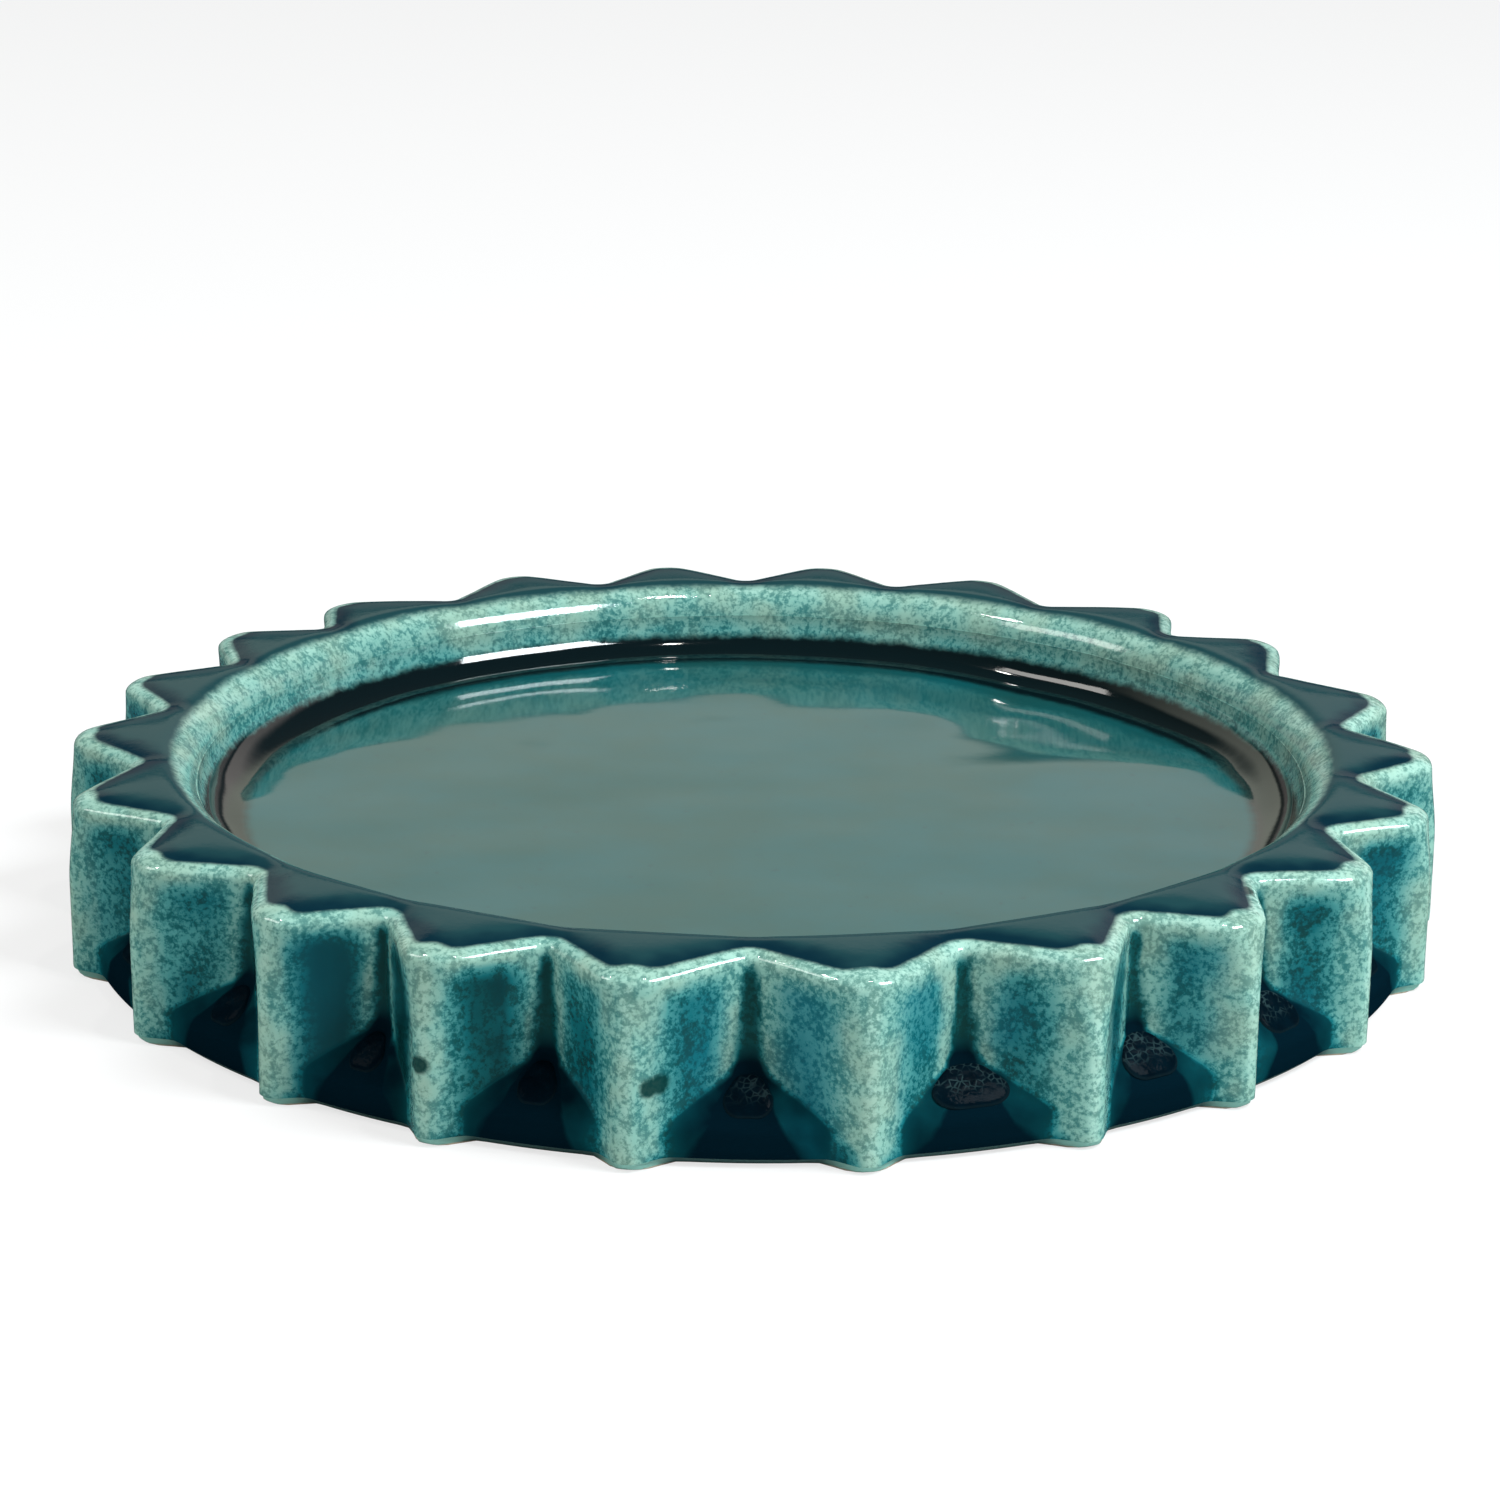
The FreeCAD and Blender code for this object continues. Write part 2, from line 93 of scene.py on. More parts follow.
# Only in the looks: how the toes blend into the sides, and where the wear, the droop, the crown,
# the dip and the unevenness start or end
TOE_SOFTNESS = 0.8 * MM
WEAR_START = 14 * MM
WEAR_SHARES = (0.45, 1.0)
DROOP_RADII = (87 * MM, 103 * MM)
DROOP_START = 10 * MM
CROWN_RADII = (82 * MM, 86 * MM)
FLOOR_MARGIN = 1 * MM
DIP_END = 3 * MM
STEADY_FOOT = 3 * MM

# Mesh: columns, the heights between which rows are spread, and the rows on the rounding of the
# top, the rim and the rim's inner edge
COLUMNS_PER_TOOTH = 42
WELL_COLUMNS_PER_TOOTH = 21
CLAY_COLUMNS_PER_TOOTH = 24
LOW_ROWS_END = 4 * MM
MIDDLE_ROWS_END = 14 * MM
FOOT_ROWS_START = 0.15 * MM
CLAY_ROWS_START = 2 * MM
DEPTH_BELOW_EDGE = 9 * MM
FAR_FROM_EDGE = -1.0
GLAZE_STEPS = (8, 8, 10)
HIDDEN_STEPS = (3, 3, 3)
CLAY_STEPS = (4, 4, 5)
MERGE_DISTANCE = 0.001 * MM
BORDER_ANGLE = math.radians(50)


# Objects and node trees


def add_object(name, data):
    item = bpy.data.objects.new(name, data)
    bpy.context.scene.collection.objects.link(item)
    return item


def pose_matrix(across, above, back, place):
    """The matrix of a camera or lamp: its right, its up, the way to its back, and its place."""
    rows = zip(across, above, back, place)
    return Matrix([*rows, (0, 0, 0, 1)])


def between(factor, first, second):
    """A number between two numbers."""
    return first + (second - first) * factor


class Wire:
    """An output socket that can be used in sums: each sum adds its Math nodes."""

    def __init__(self, tree, socket):
        self.tree = tree
        self.socket = socket

    def maths(self, operation, *others):
        return self.tree.maths(operation, self, *others)

    def __add__(self, other):
        return self.maths("ADD", other)

    __radd__ = __add__

    def __mul__(self, other):
        return self.maths("MULTIPLY", other)

    __rmul__ = __mul__

    def __sub__(self, other):
        return self.maths("SUBTRACT", other)

    def __rsub__(self, other):
        return self.tree.maths("SUBTRACT", other, self)

    def __truediv__(self, other):
        return self.maths("DIVIDE", other)

    def sine(self):
        return self.maths("SINE")

    def cosine(self):
        return self.maths("COSINE")

    def root(self):
        return self.maths("MAXIMUM", 0).maths("SQRT")

    def turned_by(self, other):
        return self.maths("ARCTAN2", other)

    def at_least(self, other):
        return self.maths("MAXIMUM", other)

    def at_most(self, other):
        return self.maths("MINIMUM", other)

    def less_than(self, other):
        return self.maths("LESS_THAN", other)

    def greater_than(self, other):
        return self.maths("GREATER_THAN", other)

    def smooth_min(self, other, reach):
        return self.maths("SMOOTH_MIN", other, reach)

    def smooth_max(self, other, reach):
        return self.maths("SMOOTH_MAX", other, reach)

    def rise(self, start, end):
        """0 before start, 1 past end, and a smooth step between them."""
        sockets = {"Value": self, "From Min": start, "From Max": end}
        return self.tree.add("ShaderNodeMapRange", sockets, interpolation_type="SMOOTHSTEP")

    def fall(self, start, end):
        """1 before start, 0 past end."""
        return 1 - self.rise(start, end)


class Tree:
    """A node tree under construction."""

    def __init__(self, tree):
        self.tree = tree

    def add(self, kind, sockets=None, output=0, **settings):
        """Add a node with its settings and the values or links of its sockets."""
        node = self.tree.nodes.new(kind)
        for name, value in settings.items():
            if name == "stops":
                self.set_stops(node.color_ramp, value)
            elif name == "choices":
                for _ in range(value - len(node.index_switch_items)):
                    node.index_switch_items.new()
            else:
                setattr(node, name, value)
        for name, value in (sockets or {}).items():
            self.put(node.inputs[name], value)
        return Wire(self, node.outputs[output]) if node.outputs else node

    def put(self, socket, value):
        """Link a wire to a socket or set its value, a colour by three numbers."""
        if isinstance(value, Wire):
            self.tree.links.new(value.socket, socket)
        else:
            socket.default_value = (*value, 1) if socket.type == "RGBA" else value

    def maths(self, operation, *values):
        return self.add("ShaderNodeMath", dict(enumerate(values)), operation=operation)

    @staticmethod
    def set_stops(ramp, stops):
        while len(ramp.elements) < len(stops):
            ramp.elements.new(1)
        for element, (position, colour) in zip(ramp.elements, stops):
            element.position = position
            element.color = (*colour, 1)

    def split(self, vector):
        """The three components of a vector."""
        node = self.add("ShaderNodeSeparateXYZ", {0: vector}).socket.node
        return [Wire(self, output) for output in node.outputs]

    def join(self, x=0, y=0, z=0):
        return self.add("ShaderNodeCombineXYZ", {0: x, 1: y, 2: z})

    def vectors(self, operation, first, second):
        return self.add("ShaderNodeVectorMath", {0: first, 1: second}, operation=operation)

    def scaled(self, vector, scale):
        return self.add("ShaderNodeVectorMath", {0: vector, "Scale": scale}, operation="SCALE")

    def named(self, name):
        """A number that a geometry tree finds stored on the points."""
        return self.add("GeometryNodeInputNamedAttribute", {0: name})

    def pick(self, number, values):
        """The value that belongs to a whole number."""
        sockets = {0: number, **{index + 1: value for index, value in enumerate(values)}}
        count = len(values)
        return self.add("GeometryNodeIndexSwitch", sockets, data_type="FLOAT", choices=count)

    def feed(self, node, **values):
        """Link or set the inputs of a node, with underscores for the blanks in their names."""
        for name, value in values.items():
            self.put(node.inputs[name.replace("_", " ")], value)

    def blend(self, factor, first, second):
        """A colour between two colours, each a wire or three numbers."""
        sockets = {0: factor, 6: first, 7: second}
        return self.add("ShaderNodeMix", sockets, 2, data_type="RGBA")


# Pieces made by Geometry Nodes

SOCKET_KINDS = {int: "NodeSocketInt", float: "NodeSocketFloat"}
THROWN_INPUTS = {
    "Columns per Tooth": COLUMNS_PER_TOOTH,
    "Closing Row": 1,
    "Teeth": TEETH,
    "First Tooth Heading": FIRST_TOOTH_HEADING,
    "Tip Radius": TIP_RADIUS,
    "Tooth Depth": TOOTH_DEPTH,
    "Crest Rounding": CREST_ROUNDING,
    "Valley Rounding": VALLEY_ROUNDING,
    "Flank Dish": 0.3 * MM,
    "Toe Rounding": TOE_ROUNDING,
    "Flange Radius": FLANGE_RADIUS,
    "Shoulder Height": SHOULDER_HEIGHT,
    "Shoulder Slope": SHOULDER_SLOPE,
    "Shoulder Softness": 1.6 * MM,
    "Root Softness": 1.6 * MM,
    "Tip Droop": 0.25 * MM,
    "Rim Crown": 0.8 * MM,
    "Crown Reach": 3.6 * MM,
    "Tip Wear": 1.1 * MM,
    "Tip Blunting": 3 * MM,
    "Unevenness": 0.3 * MM,
    "Dip Depth": 0.8 * MM,
    "Dip from the Left": 24 * MM,
    "Dip to the Right": 46 * MM,
    "Dip from the Front": 18 * MM,
    "Dip to the Back": 46 * MM,
    "Material": None,
}
TEMPLATE_ATTRIBUTES = ("set_in", "roundness", "skin_depth", "from_edge")
COLUMN_CROWDING = 0.45
PEEL_SCALE = 38


def new_geometry_tree(name, inputs):
    """An empty geometry tree with named inputs, its Tree and a Wire for each input."""
    group = bpy.data.node_groups.new(name, "GeometryNodeTree")
    group.interface.new_socket("Geometry", in_out="INPUT", socket_type="NodeSocketGeometry")
    group.interface.new_socket("Geometry", in_out="OUTPUT", socket_type="NodeSocketGeometry")
    for label, value in inputs.items():
        kind = SOCKET_KINDS.get(type(value), "NodeSocketMaterial")
        socket = group.interface.new_socket(label, in_out="INPUT", socket_type=kind)
        if value is not None:
            socket.default_value = value
    entry = group.nodes.new("NodeGroupInput")
    tree = Tree(group)
    return tree, {socket.name: Wire(tree, socket) for socket in entry.outputs if socket.name}


def finish_geometry_tree(tree, geometry, material):
    """Set the material, shade smoothly and end the tree."""
    painted = tree.add("GeometryNodeSetMaterial", {"Geometry": geometry, "Material": material})
    smooth = tree.add("GeometryNodeSetShadeSmooth", {0: painted})
    tree.add("NodeGroupOutput", {0: smooth})
    return tree.tree


def unit_grid(tree, columns, rows):
    """A grid of steps of length 1 round the origin, and the x and y of each point."""
    sockets = {0: columns, 1: rows, 2: columns + 1, 3: rows + 1}
    x, y, _ = tree.split(tree.add("GeometryNodeInputPosition"))
    return tree.add("GeometryNodeMeshGrid", sockets), x, y


def moved(tree, geometry, place):
    return tree.add("GeometryNodeSetPosition", {"Geometry": geometry, "Position": place})


def merged(tree, geometry):
    """Join the points that lie on one spot."""
    sockets = {"Geometry": geometry, "Distance": MERGE_DISTANCE}
    return tree.add("GeometryNodeMergeByDistance", sockets)


def store(tree, geometry, name, value):
    """Store a number on the points of a geometry for the materials."""
    sockets = {"Geometry": geometry, "Name": name, "Value": value}
    return tree.add("GeometryNodeStoreNamedAttribute", sockets)


def tooth_heading(tree, size, number):
    """Heading of a tooth's crest: each tooth is turned by a share of the pitch."""
    share = tree.pick(number.maths("FLOORED_MODULO", TEETH), TOOTH_TURN_SHARES)
    return size["First Tooth Heading"] + (number + share) * math.tau / size["Teeth"]


def toothed_radius(size, from_crest, half_pitch, set_in, crest_rounding):
    """Radius of the ring of teeth at an angle from a crest: crest arc, flank, valley arc."""
    crest_arc = crest_rounding - set_in
    valley_arc = size["Valley Rounding"] + set_in
    crest = size["Tip Radius"] - crest_rounding
    valley = size["Tip Radius"] - size["Tooth Depth"] + size["Valley Rounding"]
    valley_x = valley * half_pitch.cosine()
    valley_y = valley * half_pitch.sine()
    across = valley_x - crest
    reach = (across * across + valley_y * valley_y).root()
    cross = ((crest_rounding + size["Valley Rounding"]) / reach).maths("ARCCOSINE")
    facing = valley_y.turned_by(across) - cross
    flank = (crest * facing.cosine() + crest_arc) / (from_crest - facing).cosine()
    crest_side = crest * from_crest.sine()
    on_crest = crest * from_crest.cosine() + (crest_arc * crest_arc - crest_side * crest_side).root()
    from_valley = from_crest - half_pitch
    valley_side = valley * from_valley.sine()
    on_valley = (
        valley * from_valley.cosine() - (valley_arc * valley_arc - valley_side * valley_side).root()
    )
    crest_end = (crest_arc * facing.sine()).turned_by(crest + crest_arc * facing.cosine())
    valley_start = (valley_y - valley_arc * facing.sine()).turned_by(
        valley_x - valley_arc * facing.cosine()
    )
    radius = (
        flank
        + (on_crest - flank) * from_crest.less_than(crest_end)
        + (on_valley - flank) * from_crest.greater_than(valley_start)
    )
    hollow = ((from_crest - crest_end) / (valley_start - crest_end)).maths("PINGPONG", 1)
    inside = from_crest.greater_than(crest_end) * from_crest.less_than(valley_start)
    wave = (hollow * math.pi).sine()
    return radius - size["Flank Dish"] * wave * wave * inside


def dip(size, radius, heading, height):
    """How far the floor sinks at the right back, so that it mirrors more of the wall there."""
    rightwards = (radius * heading.cosine()).rise(size["Dip from the Left"], size["Dip to the Right"])
    backwards = (radius * heading.sine()).rise(size["Dip from the Front"], size["Dip to the Back"])
    low = height.fall(FLOOR_HEIGHT + FLOOR_MARGIN, FLOOR_HEIGHT + DIP_END)
    return size["Dip Depth"] * rightwards * backwards * low


def rounded_foot(side, height, rounding):
    """Radius of an upright side whose foot is rounded."""
    below = (rounding - height).at_least(0)
    return side - rounding + (rounding * rounding - below * below).root()


def make_thrown_tree():
    """Throws a template round the axis as a closed skin and presses the teeth into it."""
    tree, size = new_geometry_tree("thrown and toothed", THROWN_INPUTS)
    template = size["Geometry"]
    points = tree.add("GeometryNodeAttributeDomainSize", {0: template}, component="MESH")
    row_steps = points + size["Closing Row"] - 1
    column_steps = size["Teeth"] * size["Columns per Tooth"]
    grid, x, y = unit_grid(tree, column_steps, row_steps)
    column = (x + column_steps / 2).maths("ROUND")
    row = (y + row_steps / 2).maths("ROUND").maths("FLOORED_MODULO", points)

    sockets = {0: template, 1: tree.add("GeometryNodeInputPosition"), 2: row}
    drawn = tree.add("GeometryNodeSampleIndex", sockets, data_type="FLOAT_VECTOR")
    template_radius, _, height = tree.split(drawn)
    set_in, roundness, depth, from_edge = (
        tree.add("GeometryNodeSampleIndex", {0: template, 1: tree.named(name), 2: row})
        for name in TEMPLATE_ATTRIBUTES
    )

    number = (column / size["Columns per Tooth"]).maths("FLOOR")
    share = column / size["Columns per Tooth"] - number
    crowded = share - (share * 2 * math.tau).sine() * (COLUMN_CROWDING / (2 * math.tau))
    start = tooth_heading(tree, size, number)
    end = tooth_heading(tree, size, number + 1)
    heading = start + (end - start) * crowded
    half_pitch = (end - start) / 2
    from_crest = half_pitch - (heading - start - half_pitch).maths("ABSOLUTE")

    top_share = height.rise(WEAR_START, BODY_HEIGHT)
    crest_rounding = size["Crest Rounding"] + size["Tip Blunting"] * top_share
    teeth = toothed_radius(size, from_crest, half_pitch, set_in, crest_rounding)
    toe_side = size["Tip Radius"] + TOE_OVERLAP - depth
    toe = rounded_foot(toe_side, height, size["Toe Rounding"] - depth)
    flange_side = rounded_foot(size["Flange Radius"] - depth, height, FLANGE_TOE_ROUNDING - depth)
    level = size["Shoulder Height"] - depth / size["Shoulder Slope"].cosine()
    valley_radius = size["Tip Radius"] - size["Tooth Depth"]
    shoulder = valley_radius + (level - height) / size["Shoulder Slope"].maths("TANGENT")
    flange = flange_side.smooth_min(shoulder, size["Shoulder Softness"])
    outside = teeth.smooth_min(toe, TOE_SOFTNESS).smooth_max(flange, size["Root Softness"])
    tip_share = (1 - from_crest / half_pitch).rise(*WEAR_SHARES)
    outside = outside - size["Tip Wear"] * top_share * tip_share
    radius = between(roundness, outside, template_radius)

    droop = size["Tip Droop"] * radius.rise(*DROOP_RADII) * height.rise(DROOP_START, BODY_HEIGHT)
    fade = ((radius - outside).at_most(0) / size["Crown Reach"]).maths("EXPONENT")
    on_top = height.rise(TOP_START, BODY_HEIGHT)
    droop = droop + size["Rim Crown"] * (fade - 0.5) * on_top * radius.rise(*CROWN_RADII)
    on_floor = height.greater_than(FLOOR_HEIGHT - FLOOR_MARGIN)
    level_height = height - droop - dip(size, radius, heading, height) * on_floor
    flat = tree.join(radius * heading.cosine(), radius * heading.sine(), level_height)
    sockets = {"Vector": flat, "Scale": PEEL_SCALE, "Detail": 1.0}
    peel = tree.add("ShaderNodeTexNoise", sockets, 1)
    centred = tree.vectors("SUBTRACT", peel, (0.5, 0.5, 0.5))
    above_foot = height.rise(0, STEADY_FOOT)
    uneven = tree.scaled(centred, size["Unevenness"] * 2 * above_foot)
    shaped = tree.vectors("ADD", flat, uneven)

    grid = store(tree, grid, "crest", 1 - from_crest / half_pitch)
    grid = store(tree, grid, "flange_proud", (flange - teeth) / MM)
    grid = store(tree, grid, "from_edge", (from_edge - (outside - radius)) / MM)
    thrown = merged(tree, moved(tree, grid, shaped))
    return finish_geometry_tree(tree, thrown, size["Material"])


def spread(first, last, steps):
    """Evenly spaced numbers from first to last, both included."""
    return [first + (last - first) * step / steps for step in range(steps + 1)]


class Template:
    """The profile of a piece as points with attributes, drawn in the XZ plane."""

    def __init__(self):
        self.points = []

    def point(self, radius, height, set_in=0.0, roundness=1.0, skin_depth=0.0, from_edge=FAR_FROM_EDGE):
        self.points.append((radius, height, (set_in, roundness, skin_depth, from_edge)))

    def arc(self, radius, height, rounding, first, last, steps, **values):
        """Points of an arc round (radius, height), from one angle to another.

        A positive rounding bulges towards the axis, a negative one away from it.
        """
        for angle in spread(first, last, steps):
            along = -rounding * math.cos(angle)
            self.point(radius + along, height + rounding * math.sin(angle), **values)

    def to_object(self, name):
        mesh = bpy.data.meshes.new(name)
        edges = [(index, index + 1) for index in range(len(self.points) - 1)]
        mesh.from_pydata([(radius, 0, height) for radius, height, _ in self.points], edges, [])
        for number, attribute in enumerate(TEMPLATE_ATTRIBUTES):
            layer = mesh.attributes.new(attribute, "FLOAT", "POINT")
            for index, (_, _, values) in enumerate(self.points):
                layer.data[index].value = values[number]
        return add_object(name, mesh)


def grown(name, source, tree, values):
    """Run a geometry tree on an object and keep the result as a plain mesh."""
    modifier = source.modifiers.new("shape", "NODES")
    modifier.node_group = tree
    for item in tree.interface.items_tree:
        if item.item_type == "SOCKET" and item.in_out == "INPUT" and item.name in values:
            modifier[item.identifier] = values[item.name]
    bpy.context.view_layer.update()
    evaluated = source.evaluated_get(bpy.context.evaluated_depsgraph_get())
    mesh = bpy.data.meshes.new_from_object(evaluated)
    mesh.name = name
    source.modifiers.remove(modifier)
    piece = add_object(name, mesh)
    bpy.data.objects.remove(source)
    shell = bmesh.new()
    shell.from_mesh(mesh)
    bmesh.ops.recalc_face_normals(shell, faces=shell.faces)
    shell.to_mesh(mesh)
    shell.free()
    mesh.set_sharp_from_angle(angle=BORDER_ANGLE)
    return piece


def set_back(rounding, lean):
    """How far the middle of a rounding is from the corner of a level and a leaning side."""
    return rounding * math.tan((math.pi / 2 - lean) / 2)


def wall_radius(height, inset=0.0):
    """Radius of the well's wall at a height."""
    fall = (BODY_HEIGHT - height) * math.tan(WALL_LEAN)
    return WALL_LINE_RADIUS + inset / math.cos(WALL_LEAN) - fall


def corner_centre(rounding, inset):
    """Radius and height of the middle of the well's rounded corner."""
    floor = FLOOR_HEIGHT - inset
    return wall_radius(floor, inset) - set_back(rounding, WALL_LEAN), floor + rounding


def draw_outside(template, inset, heights, steps):
    """The outside at some heights, then the top's rounding, the rim and its inner rounding."""
    top_steps, rim_steps, edge_steps = steps
    half_arc = TOP_ROUNDING * math.pi / 4
    for height in heights:
        template.point(
            0, height, set_in=inset, roundness=0, skin_depth=inset,
            from_edge=TOP_START - height + half_arc,
        )
    rounding = TOP_ROUNDING - inset
    for angle in spread(0, math.pi / 2, top_steps)[1:]:
        template.point(
            0, TOP_START + rounding * math.sin(angle),
            set_in=inset + rounding * (1 - math.cos(angle)), roundness=0, skin_depth=inset,
            from_edge=TOP_ROUNDING * (math.pi / 4 - angle),
        )
    rim_radius = WALL_LINE_RADIUS + set_back(RIM_EDGE_ROUNDING, WALL_LEAN)
    edge_height = BODY_HEIGHT - RIM_EDGE_ROUNDING
    for share in spread(0, 1, rim_steps)[1:-1]:
        template.point(
            rim_radius, BODY_HEIGHT - inset, set_in=TOP_ROUNDING, roundness=share,
            skin_depth=inset, from_edge=-half_arc,
        )
    template.arc(
        rim_radius, edge_height, RIM_EDGE_ROUNDING - inset, math.pi / 2, WALL_LEAN, edge_steps,
        set_in=TOP_ROUNDING, skin_depth=inset, from_edge=-half_arc,
    )


def draw_outer_glaze():
    """The skin over the outside, the rim and the upper wall, and its back against the clay."""
    template = Template()
    heights = (
        spread(GLAZE_LINE, LOW_ROWS_END, 6)[:-1]
        + spread(LOW_ROWS_END, MIDDLE_ROWS_END, 18)[:-1]
        + spread(MIDDLE_ROWS_END, TOP_START, 14)
    )
    draw_outside(template, 0, heights, GLAZE_STEPS)
    template.point(wall_radius(CORNER_GLAZE_TOP), CORNER_GLAZE_TOP, from_edge=-DEPTH_BELOW_EDGE)
    hidden = Template()
    heights = spread(GLAZE_LINE, TOP_START, 12)
    draw_outside(hidden, GLAZE_THICKNESS, heights, HIDDEN_STEPS)
    wall_back = wall_radius(CORNER_GLAZE_TOP, GLAZE_THICKNESS)
    hidden.point(wall_back, CORNER_GLAZE_TOP, skin_depth=GLAZE_THICKNESS)
    template.points += reversed(hidden.points)
    return template


def draw_corner_glaze():
    """The thick ring from the lower wall to the floor."""
    template = Template()
    centre_radius, centre_height = corner_centre(CORNER_ROUNDING, 0)
    corner_start = centre_height - CORNER_ROUNDING * math.sin(WALL_LEAN)
    for height in spread(CORNER_GLAZE_TOP, corner_start, 2):
        template.point(wall_radius(height), height)
    template.arc(centre_radius, centre_height, -CORNER_ROUNDING, WALL_LEAN, math.pi / 2, 22)
    template.point(FLOOR_GLAZE_RADIUS, FLOOR_HEIGHT)
    template.point(FLOOR_GLAZE_RADIUS, FLOOR_HEIGHT - GLAZE_THICKNESS)
    centre_radius, centre_height = corner_centre(CLAY_CORNER_ROUNDING, GLAZE_THICKNESS)
    template.arc(centre_radius, centre_height, -CLAY_CORNER_ROUNDING, math.pi / 2, WALL_LEAN, 8)
    template.point(wall_radius(CORNER_GLAZE_TOP, GLAZE_THICKNESS), CORNER_GLAZE_TOP)
    return template


def draw_floor_glaze():
    """The sheet on the floor, with rows close enough for the dip."""
    template = Template()
    for share in spread(0, 1, 52):
        template.point(FLOOR_GLAZE_RADIUS * share, FLOOR_HEIGHT)
    for share in spread(1, 0, 6):
        template.point(FLOOR_GLAZE_RADIUS * share, FLOOR_HEIGHT - GLAZE_THICKNESS)
    return template


def draw_clay():
    """The fired clay: under the glaze it is set back, and its foot and underside are bare."""
    template = Template()
    inset = GLAZE_THICKNESS
    floor = FLOOR_HEIGHT - inset
    centre_radius, centre_height = corner_centre(CLAY_CORNER_ROUNDING, inset)
    for share in spread(0, 1, 6)[:-1]:
        template.point(centre_radius * share, floor)
    template.arc(centre_radius, centre_height, -CLAY_CORNER_ROUNDING, math.pi / 2, WALL_LEAN, 6)
    outside = Template()
    foot_rows = spread(FOOT_ROWS_START, GLAZE_LINE, 4)
    heights = [0] + foot_rows + spread(CLAY_ROWS_START, TOP_START, 16)
    draw_outside(outside, inset, heights, CLAY_STEPS)
    template.points += reversed(outside.points)
    mouth = FOOT_INNER_RADIUS + set_back(FOOT_EDGE_ROUNDING, RECESS_LEAN)
    for share in spread(0, 1, 6)[1:]:
        template.point(mouth, 0, set_in=inset, roundness=share, skin_depth=inset)
    template.arc(mouth, FOOT_EDGE_ROUNDING, FOOT_EDGE_ROUNDING, -math.pi / 2, -RECESS_LEAN, 5)
    roof = FOOT_INNER_RADIUS - RECESS_DEPTH * math.tan(RECESS_LEAN)
    roof_radius = roof - set_back(RECESS_CORNER_ROUNDING, RECESS_LEAN)
    corner_height = RECESS_DEPTH - RECESS_CORNER_ROUNDING
    rounding = -RECESS_CORNER_ROUNDING
    template.arc(roof_radius, corner_height, rounding, -RECESS_LEAN, -math.pi / 2, 8)
    for share in spread(1, 0, 20)[1:]:
        template.point(roof_radius * share, RECESS_DEPTH)
    return template


# Breadths of the pools, from the valley after the first tooth
POOL_BREADTHS = (
    1.25, 1.00, 0.92, 0.76, 0.84, 0.66, 0.75, 0.90, 0.66, 0.80, 0.72,
    0.88, 0.64, 0.76, 0.84, 0.70, 0.60, 0.78, 0.68, 0.58, 0.62, 0.76,
)
POOL_SHORTEST = 0.84
POOL_BACK_RINGS = 4
POOL_FILLET_POINTS = 8
CRACKLE_SCALE = 900
# Where the crackle shows: up the pool, and out from its middle
CRACKLE_OPENS = (0.2, 0.7)
CRACKLE_CLOSES = (0.8, 0.98)
POOL_INPUTS = {
    "Teeth": TEETH,
    "First Tooth Heading": FIRST_TOOTH_HEADING,
    "Length": 7 * MM,
    "Lower Width": 13 * MM,
    "Upper Width": 3.6 * MM,
    "Corner Rounding": 2.6 * MM,
    "Proud": 0.45 * MM,
    "Bury": 0.7 * MM,
    "Points Round": 64,
    "Rings": 18,
    "Valley Radius": TIP_RADIUS - TOOTH_DEPTH,
    "Gap from Valley": 0.9 * MM,
    "Shoulder Height": SHOULDER_HEIGHT,
    "Shoulder Slope": SHOULDER_SLOPE,
    "Crackle": 0.22 * MM,
    "Seed": 5,
    "Material": None,
}


